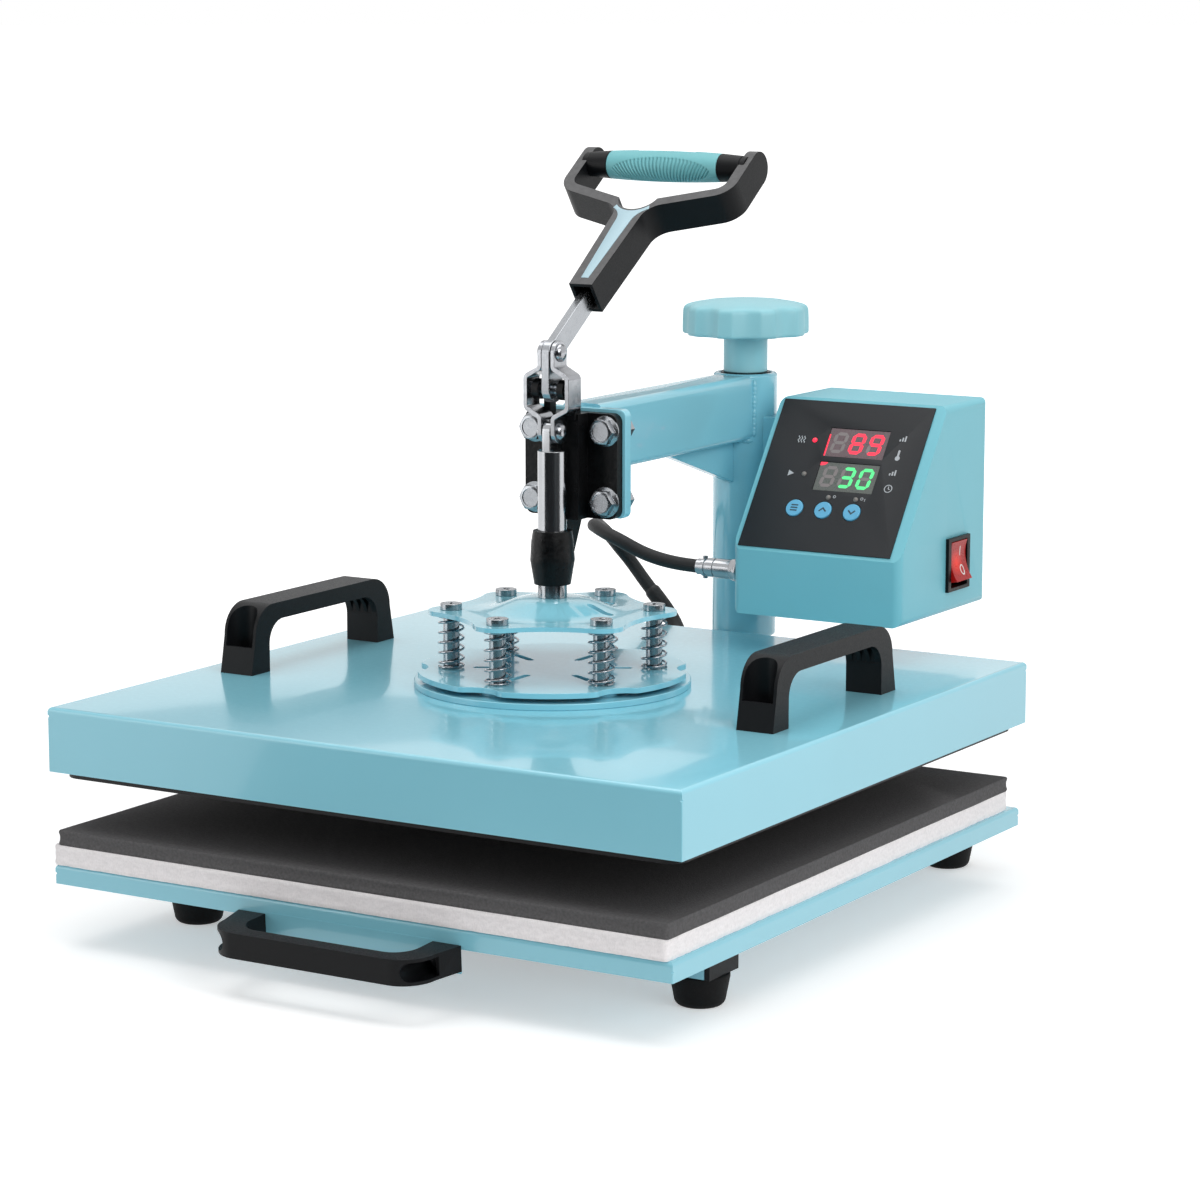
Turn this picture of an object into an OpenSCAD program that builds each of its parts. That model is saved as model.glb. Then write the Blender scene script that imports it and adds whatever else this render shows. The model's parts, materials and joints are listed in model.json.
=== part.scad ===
// Swing-away heat press with a slide-out lower platen, a toggle clamp and a sprung upper platen.
// X is to the right, Y is to the back, Z is up. The origin is on the floor, under the middle of the press.

/* [Upper platen] */
// Width of the platen cover
cover_w = 390; // [360:1:420]
// Depth of the platen cover
cover_d = 390; // [360:1:400]
// Height of the cover's folded sides
cover_h = 35; // [32:0.5:45]
// Thickness of the folded sheet steel
sheet_t = 1.5; // [1:0.1:2]
// Outside radius of the sheet's bends
bend_r = 2.5; // [2.2:0.1:4]
// Distance from the cover's outside to the heating plate's edge
heater_inset = 6; // [4:0.5:12]
// Thickness of the heating plate
heater_h = 12; // [8:0.5:16]
// Height of the heating plate's edge that shows under the cover
heater_show = 3; // [1:0.5:6]
// Corner radius of the heating plate
heater_r = 10; // [4:0.5:16]
// Gap between heating plate and foam pad with the lever open
open_gap = 28; // [24:0.5:36]

/* [Lower platen] */
// Width of the drawer tray
tray_w = 382; // [350:1:400]
// Depth of the drawer tray
tray_d = 393; // [370:1:400]
// Height of the tray's folded sides
tray_h = 10.5; // [8:0.5:16]
// Height of the tray's lower edge over the floor
tray_z = 34.5; // [31:0.5:36]
// Width of the foam pad
pad_w = 379; // [340:1:380]
// Width of the felt board
felt_w = 381; // [340:1:382]
// How far the felt board sits to the left of the middle
felt_shift = 1.5; // [0:0.5:3]
// Depth of the felt board and the foam pad
pad_d = 386; // [350:1:390]
// How far the pad stands out in front of the tray
pad_over = 1.5; // [0:0.5:3]
// Thickness of the felt board
felt_t = 11; // [8:0.5:14]
// Thickness of the foam pad
foam_t = 8; // [6:0.5:12]
// Corner radius of the felt board and the foam pad
pad_r = 3; // [1:0.5:8]

/* [Base] */
// Height of a rubber foot
foot_h = 17; // [12:0.5:22]
// Diameter of a rubber foot at its top
foot_top_d = 31; // [26:0.5:36]
// Diameter of a rubber foot at the floor
foot_low_d = 26; // [20:0.5:30]
// Width of the frame's rectangular tube
tube_w = 30; // [24:1:34]
// Height of the frame's rectangular tube
tube_h = 20; // [16:0.5:20]
// Wall of the frame's rectangular tube
tube_wall = 1.5; // [1:0.1:2.5]
// Length of the front cross tube
front_tube_l = 340; // [320:1:360]
// Length of the rear cross tube
rear_tube_l = 296; // [280:1:340]
// Distance of the front cross tube in front of the platen's centre
front_tube_off = 114; // [90:1:150]
// Distance between the two long tubes
rail_gap = 180; // [140:2:220]
// Distance of a foot's axis from the end of its tube
foot_end = 11; // [10:0.5:30]
// Thickness of a tube's end cap
cap_t = 3; // [2:0.5:6]

/* [Post and arm] */
// Distance from the rear edge of the cover, tray or pad to the post's axis
post_off = 19; // [18.5:0.5:33]
// Diameter of the inner post
post_d = 31; // [26:0.5:32]
// Wall of the inner post
post_wall = 3; // [2:0.5:5]
// Outside diameter of the swing sleeve
sleeve_d = 38; // [37:0.5:38]
// Height of the swing sleeve's lower end over the floor
sleeve_z = 125; // [110:1:140]
// Length of the swing sleeve
sleeve_l = 157.5; // [150:0.5:170]
// Width of the arm's tube
arm_w = 26; // [22:1:27]
// Height of the arm's tube
arm_h = 38; // [32:1:44]
// Wall of the arm's tube
arm_wall = 2; // [1.5:0.1:3]
// Corner radius of the arm's tube
arm_corner = 4; // [3.2:0.2:6]
// Length of the gusset under the arm
gusset_l = 80; // [50:1:100]
// Height of the gusset at the sleeve
gusset_h = 25; // [15:1:40]
// Thickness of the gusset
gusset_t = 6; // [4:0.5:10]
// Diameter of the pressure screw
screw_d = 12; // [10:0.5:14]
// Diameter of the pressure knob
knob_d = 75; // [60:1:90]
// Height of the pressure knob's lobed head
knob_h = 21; // [18:0.5:30]
// Number of lobes round the knob
knob_lobes = 9; // [6:1:12]
// Diameter of the knob's stem
stem_d = 26; // [20:0.5:29]
// Length of the knob's stem
stem_l = 22; // [14:0.5:28]

/* [Toggle clamp] */
// Height of the lever's pivot over the floor
pivot_z = 292.5; // [290:0.5:296]
// Distance from the lever's pivot to its link rivet
crank_r = 20; // [19:0.5:21]
// Distance between the two rivets of a link plate
link_l = 43; // [42:0.5:46]
// Thickness of a link plate
link_t = 2.5; // [2:0.1:3]
// Width of a link plate
link_w = 13; // [11:0.5:14]
// Inside width of the bulge in the pair of link plates
bulge_w = 24; // [22:0.2:26]
// Diameter of the plunger
plunger_d = 16; // [12:0.5:17]
// Length of the guide barrel
barrel_l = 29.5; // [24:0.5:32]
// Largest diameter of the guide barrel
barrel_d = 24.5; // [22:0.5:28]
// Width of the clamp's flange
flange_w = 59; // [58:1:64]
// Height of the clamp's flange
flange_h = 58; // [52:1:62]
// Thickness of the clamp's flange
flange_t = 6; // [4:0.5:8]
// Distance of the flange's front behind the plunger's axis
flange_off = 19; // [17:0.5:22]
// Distance between the bolts across the flange
bolt_gap_x = 45; // [40:0.5:46]
// Distance between the bolts up the flange
bolt_gap_z = 39; // [34:0.5:42]

/* [Lever] */
// Thickness of the lever's flat bar
bar_t = 5; // [4:0.5:5]
// Width of the lever's flat bar
bar_w = 12; // [10:0.5:13]
// Width of the lever's flat bar at its pivot
bar_low_w = 14; // [12:0.5:15]
// Lean of the lever from the vertical, degrees
lever_lean = 54.5; // [45:0.5:60]
// Distance along the lever from its link rivet to the handle's stem
stem_at = 44; // [40:1:60]
// Distance along the lever from its link rivet to the grip's axis
grip_at = 155; // [148:1:165]
// Width of the handle over its two arms
handle_w = 112; // [104:1:130]
// Width of a handle arm, seen from the front
arm_bar = 6.6; // [5:0.2:9]
// Depth of the handle's stem and arms
frame_t = 19.5; // [17:0.5:22]
// Width of the handle's stem at its top
yoke_w = 18.4; // [16:0.2:22]
// Largest diameter of the ribbed grip
grip_d = 18; // [16:0.5:20]
// Number of ribs round the grip
grip_ribs = 25; // [10:1:30]

/* [Spring mount] */
// Diameter of the mount disc
disc_d = 152; // [140:1:170]
// Thickness of the mount disc
disc_t = 3.5; // [2.5:0.5:5]
// Radius of the circle that the shoulder screws stand on
screw_pcd_r = 55.6; // [50:0.2:60]
// Number of shoulder screws and springs
spring_count = 6; // [4:1:8]
// Radius of a spider's lobe round its screw
lobe_r = 12.4; // [9:0.2:13]
// Diameter of the lower spider
lower_d = 149; // [140:1:152]
// Thickness of the lower spider
lower_t = 3; // [2:0.5:4]
// Thickness of the upper spider
upper_t = 2.5; // [2:0.5:4]
// Height of the bosses under the lower spider
boss_h = 2.5; // [1:0.5:4]
// Length of a compression spring as fitted
spring_l = 29.8; // [24:0.2:34]
// Middle diameter of a compression spring
spring_d = 13.4; // [12:0.2:15]
// Wire diameter of a compression spring
wire_d = 1.3; // [1:0.1:1.8]
// Turns of a compression spring
spring_turns = 6; // [4:1:8]
// Diameter of a shoulder screw's shank
shank_d = 9; // [7:0.5:10]
// Diameter of a shoulder screw's head
head_d = 12; // [11:0.5:15]
// Height of a shoulder screw's head
head_h = 3.4; // [3:0.2:6]
// Rise of the upper spider's middle
dome_h = 7; // [4:0.5:10]

/* [Handles] */
// Length of a cover handle
cover_handle_l = 139; // [120:1:160]
// Height of a cover handle
cover_handle_h = 38; // [32:0.5:44]
// Width of a cover handle
cover_handle_w = 21.6; // [18:0.2:26]
// Distance of the left handle's middle from the middle of the press
left_handle_x = 165; // [140:1:170]
// Distance of the left handle's middle behind the platen's centre
left_handle_y = 1; // [-20:0.5:30]
// Distance of the right handle's middle from the middle of the press
right_handle_x = 158; // [140:1:170]
// Distance of the right handle's middle behind the platen's centre
right_handle_y = 12.5; // [-20:0.5:30]
// Length of the drawer handle
drawer_handle_l = 138; // [120:1:160]
// Reach of the drawer handle in front of the tray
drawer_handle_h = 35; // [30:0.5:44]
// Width of the drawer handle
drawer_handle_w = 13.6; // [12:0.2:16]
// Droop of the drawer handle below the level, degrees
droop = 3; // [0:0.5:8]
// Length of a handle's leg along the handle
leg_l = 17; // [15:0.5:24]
// Thickness of a handle's bar
bar_h = 9.5; // [7:0.5:12]
// Outside radius of a handle's bends
handle_out_r = 17; // [12:0.5:17.5]
// Inside radius of a handle's bends
handle_in_r = 13; // [6:0.5:18]

/* [Control box] */
// Distance of the box's left side from the middle of the press
box_x = 33; // [28:0.5:40]
// Width of the control box
box_w = 107.6; // [100:0.2:120]
// Depth of the control box
box_d = 111.4; // [100:0.2:120]
// Height of the control box
box_h = 120; // [110:0.5:130]
// Distance of the box's front in front of the post's axis
box_front = 73.4; // [60:0.2:80]
// Height of the box's lower face over the floor
box_z = 151.7; // [140:0.1:160]
// Height of the upright part of the box's front
box_lip = 37.4; // [30:0.2:48]
// Depth of the sloping part of the box's front
box_slope = 58.7; // [48:0.1:66]
// Wall of the control box
box_wall = 2.5; // [2:0.1:3.5]
// Outside radius of the control box's edges
box_r = 5; // [3.5:0.5:7]
// Thickness of the panel sheet
panel_t = 0.8; // [0.5:0.1:1.5]
// Distance between neighbouring buttons
button_gap = 18.4; // [14:0.2:20]
// Diameter of a button
button_d = 10.6; // [8:0.2:12]

/* [Fits] */
// Radial clearance of turning and sliding fits
run_fit = 0.08; // [0.02:0.01:0.1]
// Gap between neighbouring pieces that move past each other
move_gap = 0.4; // [0.3:0.05:0.6]

/* [Hidden] */
$fn = 64;

// Colours
aqua = "#8CCBDB";
box_aqua = "#74BDC6";
black = "#2A2A2C";
steel = "#C9CBCD";
zinc = "#B9BEC2";
felt_white = "#E4DFDE";
foam_grey = "#4A4A4B";
button_blue = "#4FA6D2";

// Heights over the floor, from the feet up
frame_z = foot_h;
frame_top = frame_z + tube_h;
tray_top = tray_z + tray_h;
felt_top = tray_top + felt_t;
pad_top = felt_top + foam_t;
heater_z = pad_top + open_gap;
cover_z = heater_z + heater_show;
cover_top = cover_z + cover_h;
disc_top = cover_top + disc_t;
lower_z = disc_top + boss_h;
lower_top = lower_z + lower_t;
upper_z = lower_top + spring_l;
upper_top = upper_z + upper_t;
dome_top = upper_top + dome_h;
sleeve_top = sleeve_z + sleeve_l;

// Places along Y, from the platen's centre
front_reach = tray_d / 2 + drawer_handle_h * cos(droop) + drawer_handle_w / 2 * sin(droop);
pad_rear = pad_d - tray_d / 2 - pad_over;
post_y = max(cover_d / 2, tray_d / 2, pad_rear) + post_off;
rear_reach = post_y - box_front + box_d;
platen_y = (front_reach - rear_reach) / 2;
pad_y = pad_rear - pad_d / 2;
rail_x = rail_gap / 2;
front_foot_x = front_tube_l / 2 - foot_end;
rear_foot_x = rear_tube_l / 2 - foot_end;

// Sheet details
seam_gap = 0.5;
relief_r = 1.5;
notch_room = 2;
tab_drop = 13;
handle_drop = tab_drop - 1.5 - drawer_handle_w / 2;

// Drawer slides
slide_t = 1.5;
slide_w = 26;
slide_h = 5;
slide_front = tray_d / 2 - 22;
slide_rear = tray_d / 2 - 4;

// Foot fasteners
foot_screw_d = 6;
foot_screw_head_d = 12;
foot_screw_head_h = 4;
foot_recess = 6;

// Post, collar and screw
cap_recess = 1.5;
washer_d = stem_d + 3;
washer_t = 1.4;
cap_plate_t = 3.5;
collar_t = 6;
post_top = sleeve_top - 30;
plug_h = 20;
post_foot_h = 5;
post_foot_w = 60;
post_foot_d = tube_w - 2;
cap_plate_z = sleeve_top - cap_recess - cap_plate_t;
collar_z = cap_plate_z - collar_t - run_fit;
knob_z = sleeve_top - cap_recess + move_gap + washer_t;
knob_head_z = knob_z + stem_l;
screw_low = post_top - plug_h + 2;

// Clamp places, from the pivot down the plunger's axis
link_top_z = pivot_z + crank_r;
tongue_z = link_top_z - link_l;
shoulder_z = tongue_z - 0.8 * link_w;
tongue_top = tongue_z + link_w / 2;
barrel_z = dome_top + 7.5;
plate_t = 6;
plate_w = flange_w + 4;
plate_h = flange_h + 2;
arm_top = sleeve_top - 0.5;
arm_z = arm_top - arm_h;
flange_z = arm_top - 3.5 - flange_h;
flange_back = flange_off + flange_t;
plate_back = flange_back + plate_t;
bolt_mid_z = flange_z + flange_h / 2;
rivet_d = 7;
pin_d = 7;
ear_r = 5.6;
ear_bar = 9;
ear_back = 13.5;
ear_in = bar_t / 2 + 3.4;
ear_out = ear_in + 4;
narrow_in = bar_t / 2 + move_gap;
block_w = 22;
web_t = 8;
block_front = plunger_d / 2 + 1;

// Lever handle, in the lever's own plane: along the lever, across it and out of its front
stem_low_w = 14.8;
stem_end = stem_at + 62;
stem_hollow = 16;
stem_wall = 2;
arm_end = grip_at + 15;
arm_rise = 17.4;
shoulder_r = 12;
elbow_r = 14;
hollow_r = 12.6;
front_n = 11.5;
grip_n = 6;
black_end_l = 13.4;
grip_l = handle_w - 2 * arm_bar - 2 * black_end_l;

// Handle details
leg_flare = 4;
pocket_d = 14.5;
pocket_floor = 7;
pocket_lip = 15;
pocket_side = 1.8;
lip_t = 1.8;
handle_screw_d = 5;
handle_screw_in = 9.5;
slot_share = 0.14;
slot_run = 11;

// Control box places
box_y = post_y - box_front;
back_in = 2;
back_y = box_y + box_d - back_in;
slope_a = atan2(box_slope, box_h - box_lip);
slope_l = norm([box_slope, box_h - box_lip]);
panel_w = 97.5;
panel_l = 97;
display_w = 38.2;
display_l = 18.7;
display_t = 5;
display_x = 58;
temperature_at = 72.8;
time_at = 50.6;
button_at = 28.7;
button_x = 50;
button_travel = 0.8;
lamp_d = 3;
rocker_w = 20;
rocker_l = 26;
bezel_w = 28;
bezel_l = 31;
bezel_t = 2;
switch_y = box_y + 72;
switch_z = box_z + 28;
rocker_r = 26;
connector_d = 11.6;
connector_flare_d = 16.4;
socket_l = 6;
plug_l = 22.6;
connector_y = box_y + 11;
connector_z = box_z + 23;

// Heater cable, from the plug round to the back of the cover
cable_d = 8;
cable_sides = 10;
cable_end = [-41, cover_d / 2 - 4, cover_z + 17];
cable_route = [
    [connector_end_x(), connector_y, connector_z],
    [-11.5, 153, 175.5], [-24, 152.5, 177.5], [-36, 152, 181], [-47.5, 151, 186], [-59, 153, 189.5],
    [-69.5, 159.5, 191.5], [-77, 169.5, 190.5], [-82.5, 180.5, 189], [-88, 191.5, 187.5],
    [-92.5, 203, 184], [-93, 213, 178], [-90.5, 221, 169.5], [-84, 225.5, 159.5], [-76, 226, 150],
    [-67.5, 226, 141], [-59, 226, 131.5], [-51, 223, 122.5], [-44.5, 215, 116], [-41.5, 203.5, 112.5],
    cable_end
];
function connector_end_x() = box_x - socket_l - plug_l;

// Slides the whole press so that its depth is centred on the origin
module press() {
    translate([0, platen_y, 0]) children();
}

// Rectangle with round corners, centred
module round_rect(w, d, r) {
    square([w - 2 * r, d], center = true);
    square([w, d - 2 * r], center = true);
    for (x = [-1, 1], y = [-1, 1])
        translate([x * (w / 2 - r), y * (d / 2 - r)]) circle(r);
}

// Upright rectangle on the X axis with its two top corners round
module round_top(w, h, r) {
    translate([-w / 2, 0]) square([w, h - r]);
    translate([-w / 2 + r, 0]) square([w - 2 * r, h]);
    for (x = [-1, 1])
        translate([x * (w / 2 - r), h - r]) circle(r);
}

// Block with its four top edges round
module round_block(w, d, h, r) {
    intersection() {
        rotate([90, 0, 0]) linear_extrude(d, center = true) round_top(w, h, r);
        rotate([90, 0, 90]) linear_extrude(w, center = true) round_top(d, h, r);
    }
}

// Sheet pan folded down on four sides, with an open seam at each corner
module folded_pan(w, d, h) {
    difference() {
        round_block(w, d, h, bend_r);
        translate([0, 0, -1])
            round_block(w - 2 * sheet_t, d - 2 * sheet_t, h - sheet_t + 1, bend_r - sheet_t);
        for (x = [-1, 1], y = [-1, 1])
            translate([x * w / 2, y * d / 2, 0]) rotate([0, 0, x * y * 45]) {
                translate([-seam_gap / 2, -3 * sheet_t, -1])
                    cube([seam_gap, 6 * sheet_t, h - 2 * bend_r + 1]);
                translate([0, 0, h - 2 * bend_r])
                    rotate([90, 0, 0]) cylinder(r = relief_r / 2, h = 6 * sheet_t, center = true);
            }
    }
}

// Bar in the plane between two points, with round ends
module flat_link(a, b, w) {
    d = b - a;
    translate(a) rotate(atan2(d.y, d.x)) translate([0, -w / 2]) square([norm(d), w]);
    translate(a) circle(w / 2);
    translate(b) circle(w / 2);
}

// Rectangular tube along X, centred on its length
module box_tube(l, w, h, wall) {
    difference() {
        translate([-l / 2, -w / 2, 0]) cube([l, w, h]);
        translate([-l / 2 - 1, -w / 2 + wall, wall]) cube([l + 2, w - 2 * wall, h - 2 * wall]);
    }
}

module at_feet() {
    for (s = [-1, 1]) {
        translate([s * front_foot_x, -front_tube_off, 0]) children();
        translate([s * rear_foot_x, post_y, 0]) children();
    }
}

module base_frame() {
    rail_l = post_y + front_tube_off - tube_w;
    rail_mid = (post_y - front_tube_off) / 2;
    color(aqua) press() difference() {
        translate([0, 0, frame_z]) {
            translate([0, -front_tube_off, 0]) box_tube(front_tube_l, tube_w, tube_h, tube_wall);
            translate([0, post_y, 0]) box_tube(rear_tube_l, tube_w, tube_h, tube_wall);
            for (s = [-1, 1])
                translate([s * rail_x, rail_mid, 0])
                    rotate([0, 0, 90]) box_tube(rail_l + 0.02, tube_w, tube_h, tube_wall);
        }
        at_feet() translate([0, 0, frame_z - 1]) cylinder(d = foot_screw_d, h = tube_wall + 2);
    }
}

// Plastic plug with a flange as large as the tube
module end_cap() {
    translate([0, -tube_w / 2, frame_z]) cube([cap_t, tube_w, tube_h]);
    translate([-8, -tube_w / 2 + tube_wall + 0.1, frame_z + tube_wall + 0.1])
        cube([8, tube_w - 2 * tube_wall - 0.2, tube_h - 2 * tube_wall - 0.2]);
}

module tube_end_caps() {
    color(black) press() difference() {
        for (m = [0, 1]) mirror([m, 0, 0]) {
            translate([front_tube_l / 2, -front_tube_off, 0]) end_cap();
            translate([rear_tube_l / 2, post_y, 0]) end_cap();
        }
        at_feet() translate([0, 0, frame_z]) cylinder(d = foot_screw_d + 1, h = tube_h - tube_wall - 0.5);
    }
}

module rubber_feet() {
    edge = 2;
    color(black) press() at_feet() difference() {
        rotate_extrude() polygon([
            [0, 0], [foot_low_d / 2 - edge, 0], [foot_low_d / 2, edge], [foot_top_d / 2, foot_h - edge],
            [foot_top_d / 2, foot_h], [0, foot_h]
        ]);
        translate([0, 0, -1]) cylinder(d = foot_screw_head_d + 1, h = foot_recess + 1);
        cylinder(d = foot_screw_d, h = foot_h + 1);
    }
}

module foot_screws() {
    color(zinc) press() at_feet() {
        translate([0, 0, foot_recess - foot_screw_head_h])
            cylinder(d = foot_screw_head_d, h = foot_screw_head_h);
        translate([0, 0, foot_recess - 1])
            cylinder(d = foot_screw_d, h = foot_h - foot_recess + tube_h - tube_wall - 1);
    }
}

module post() {
    color(steel) press() translate([0, post_y, 0]) difference() {
        union() {
            translate([-post_foot_w / 2, -post_foot_d / 2, frame_top])
                cube([post_foot_w, post_foot_d, post_foot_h]);
            translate([0, 0, frame_top + post_foot_h / 2])
                cylinder(d = post_d, h = post_top - frame_top - post_foot_h / 2);
        }
        translate([0, 0, frame_top + post_foot_h])
            cylinder(d = post_d - 2 * post_wall, h = post_top - plug_h - frame_top - post_foot_h);
        translate([0, 0, post_top - plug_h - 1]) cylinder(d = screw_d + 2 * run_fit, h = plug_h + 2);
    }
}

// Steel channel on each long tube, open upwards
module drawer_slides() {
    l = slide_front + slide_rear;
    color(zinc) press() for (s = [-1, 1])
        translate([s * rail_x - slide_w / 2, -slide_front, frame_top]) difference() {
            cube([slide_w, l, slide_h]);
            translate([slide_t, -1, slide_t]) cube([slide_w - 2 * slide_t, l + 2, slide_h]);
        }
}

// Bar under the tray that runs in each channel
module drawer_runners() {
    low = frame_top + slide_t + move_gap;
    w = slide_w - 2 * slide_t - 2 * move_gap;
    color(steel) press() for (s = [-1, 1])
        translate([s * rail_x - w / 2, -slide_front, low])
            cube([w, slide_front + slide_rear, tray_top - sheet_t - low]);
}

// Frame of the leaning tab under the tray's front edge
module on_tab() {
    translate([0, -tray_d / 2, tray_z]) rotate([droop, 0, 0]) children();
}

module at_drawer_handle_screws() {
    on_tab() for (s = [-1, 1])
        translate([s * (drawer_handle_l / 2 - handle_screw_in), 0, -handle_drop]) children();
}

module drawer_tray() {
    notch_w = tube_w + 2 * notch_room;
    color(aqua) press() difference() {
        union() {
            translate([0, 0, tray_z]) folded_pan(tray_w, tray_d, tray_h);
            on_tab() translate([-drawer_handle_l / 2 + 1, 0, -tab_drop])
                cube([drawer_handle_l - 2, sheet_t, tab_drop + 3]);
        }
        for (s = [-1, 1])
            translate([s * rail_x - notch_w / 2, tray_d / 2 - 4 * sheet_t, tray_z - 1])
                cube([notch_w, 6 * sheet_t, tray_h - sheet_t + 1]);
        at_drawer_handle_screws()
            rotate([90, 0, 0]) cylinder(d = handle_screw_d + 0.4, h = 6 * sheet_t, center = true);
    }
}

module felt_board() {
    color(felt_white) press()
        translate([-felt_shift, pad_y, tray_top]) linear_extrude(felt_t) round_rect(felt_w, pad_d, pad_r);
}

module foam_pad() {
    color(foam_grey) press()
        translate([0, pad_y, felt_top]) linear_extrude(foam_t) round_rect(pad_w, pad_d, pad_r);
}

// Screw pocket with a round inner end, seen from above, open outwards up to a distance from the end
module pocket_shape(l, w, open_to) {
    r = w / 2 - pocket_side;
    middle = l / 2 - pocket_d + r;
    difference() {
        union() {
            translate([middle, 0]) circle(r);
            translate([middle, -r]) square([pocket_d, 2 * r]);
        }
        translate([open_to, -w]) square([2 * pocket_d, 2 * w]);
    }
}

// Bridge handle that stands on its two legs, long along X, with an open screw pocket at each end
module bridge_handle(l, h, w) {
    top_l = l - 2 * leg_flare;
    flare_h = h - handle_out_r;
    inside = l / 2 - leg_l;
    under = h - bar_h;
    lip_x = l / 2 - leg_flare * pocket_lip / flare_h - lip_t;
    difference() {
        rotate([90, 0, 0]) linear_extrude(w, center = true) difference() {
            union() {
                round_top(top_l, h, handle_out_r);
                polygon([[-l / 2, 0], [l / 2, 0], [top_l / 2, flare_h], [-top_l / 2, flare_h]]);
            }
            translate([0, -1]) round_top(l - 2 * leg_l, under + 1, handle_in_r);
        }
        for (m = [0, 1]) mirror([m, 0, 0]) {
            translate([0, 0, pocket_floor]) linear_extrude(h) pocket_shape(l, w, lip_x);
            translate([0, 0, pocket_lip]) linear_extrude(h) pocket_shape(l, w, l);
            translate([l / 2 - handle_screw_in, 0, -1])
                cylinder(d = handle_screw_d + 0.4, h = pocket_floor + 2);
            for (i = [-1:1])
                translate([0, i * w / 4, 0]) rotate([90, 0, 0]) linear_extrude(slot_share * w, center = true)
                    polygon([
                        [inside - slot_run, under], [inside - 0.6, under - 0.6], [inside, under - slot_run],
                        [inside - handle_in_r, under - handle_in_r]
                    ]);
        }
    }
}

module drawer_handle() {
    color(black) press()
        on_tab() translate([0, 0, -handle_drop]) rotate([90, 0, 0])
            bridge_handle(drawer_handle_l, drawer_handle_h, drawer_handle_w);
}

// Pan-head screw along +Z, its head's underside at the origin
module pan_screw(d, l, head, depth) {
    cylinder(d = head, h = depth);
    translate([0, 0, -l]) cylinder(d = d, h = l + depth / 2);
}

module drawer_handle_screws() {
    color(zinc) press() at_drawer_handle_screws()
        translate([0, -pocket_floor, 0]) rotate([90, 0, 0])
            pan_screw(handle_screw_d, pocket_floor + sheet_t + 5, 5.8, 2.5);
}

module cover_handle(x, y) {
    color(black) press() translate([x, y, cover_top]) rotate([0, 0, 90])
        bridge_handle(cover_handle_l, cover_handle_h, cover_handle_w);
}

module left_handle() { cover_handle(-left_handle_x, left_handle_y); }
module right_handle() { cover_handle(right_handle_x, right_handle_y); }

module at_cover_handle_screws() {
    for (p = [[-left_handle_x, left_handle_y], [right_handle_x, right_handle_y]], s = [-1, 1])
        translate([p.x, p.y + s * (cover_handle_l / 2 - handle_screw_in), cover_top]) children();
}

module cover_handle_screws() {
    color(zinc) press() at_cover_handle_screws()
        translate([0, 0, pocket_floor]) pan_screw(handle_screw_d, pocket_floor + sheet_t + 4, 9, 3);
}

module platen_cover() {
    color(aqua) press() difference() {
        translate([0, 0, cover_z]) folded_pan(cover_w, cover_d, cover_h);
        at_cover_handle_screws() cylinder(d = handle_screw_d + 0.4, h = 6 * sheet_t, center = true);
        at_spring_screws(cover_top) cylinder(d = shank_d, h = 6 * sheet_t, center = true);
        translate([cable_end.x, cover_d / 2, cable_end.z]) grommet_slot(grommet_slot_r + 1.6, 6 * sheet_t);
    }
}

module heating_plate() {
    color("#1E1E20") press() translate([0, 0, heater_z]) linear_extrude(heater_h)
        round_rect(cover_w - 2 * heater_inset, cover_d - 2 * heater_inset, heater_r);
}

// Mineral wool board that fills the cover over the heating plate
module insulation_board() {
    low = heater_z + heater_h;
    room = heater_inset + 6;
    color("#D8C9A0") press() difference() {
        translate([0, 0, low]) linear_extrude(cover_top - sheet_t - low)
            round_rect(cover_w - 2 * room, cover_d - 2 * room, heater_r);
        at_cover_handle_screws() cylinder(d = handle_screw_d + 1, h = 40, center = true);
        at_spring_screws(cover_top) cylinder(d = shank_d + 8, h = 40, center = true);
        translate([cable_end.x, cover_d / 2, cable_end.z]) cube([3 * cable_d, 60, 3 * cable_d], center = true);
    }
}

// Oblong slot through the back of the cover, tall enough for the cable to shift as the platen floats
grommet_slot_r = cable_d / 2 + 0.8;
grommet_slot_h = 9;
module grommet_slot(r, depth) {
    rotate([90, 0, 0]) linear_extrude(depth, center = true) {
        circle(r);
        translate([-r, -grommet_slot_h]) square([2 * r, grommet_slot_h]);
        translate([0, -grommet_slot_h]) circle(r);
    }
}

module cable_grommet() {
    color(black) press() translate([cable_end.x, cover_d / 2, cable_end.z]) difference() {
        union() {
            translate([0, -sheet_t / 2, 0]) grommet_slot(grommet_slot_r + 1.5, sheet_t);
            translate([0, 0.6, 0]) grommet_slot(grommet_slot_r + 2.9, 1.2);
            translate([0, -sheet_t - 0.6, 0]) grommet_slot(grommet_slot_r + 2.9, 1.2);
        }
        grommet_slot(grommet_slot_r, 10);
    }
}

module at_spring_screws(z) {
    for (i = [0:spring_count - 1])
        rotate([0, 0, 90 + i * 360 / spring_count]) translate([screw_pcd_r, 0, z]) children();
}

// Plate with one round lobe at each screw and shallow hollows between them
module lobed_plate(lobe, scallop_at) {
    half = 180 / spring_count;
    scallop = scallop_at * [cos(half), sin(half)];
    to_scallop = scallop - [screw_pcd_r, 0];
    touch = [screw_pcd_r, 0] + lobe * to_scallop / norm(to_scallop);
    rotate(90) {
        difference() {
            circle(norm(touch));
            for (i = [0:spring_count - 1])
                rotate(i * 360 / spring_count) translate(scallop) circle(norm(to_scallop) - lobe);
        }
        for (i = [0:spring_count - 1])
            rotate(i * 360 / spring_count) translate([screw_pcd_r, 0]) circle(lobe);
    }
}

module mount_disc() {
    color(aqua) press() difference() {
        translate([0, 0, cover_top]) cylinder(d = disc_d, h = disc_t, $fn = 96);
        at_spring_screws(cover_top) cylinder(d = shank_d, h = 6 * disc_t, center = true);
    }
}

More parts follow.
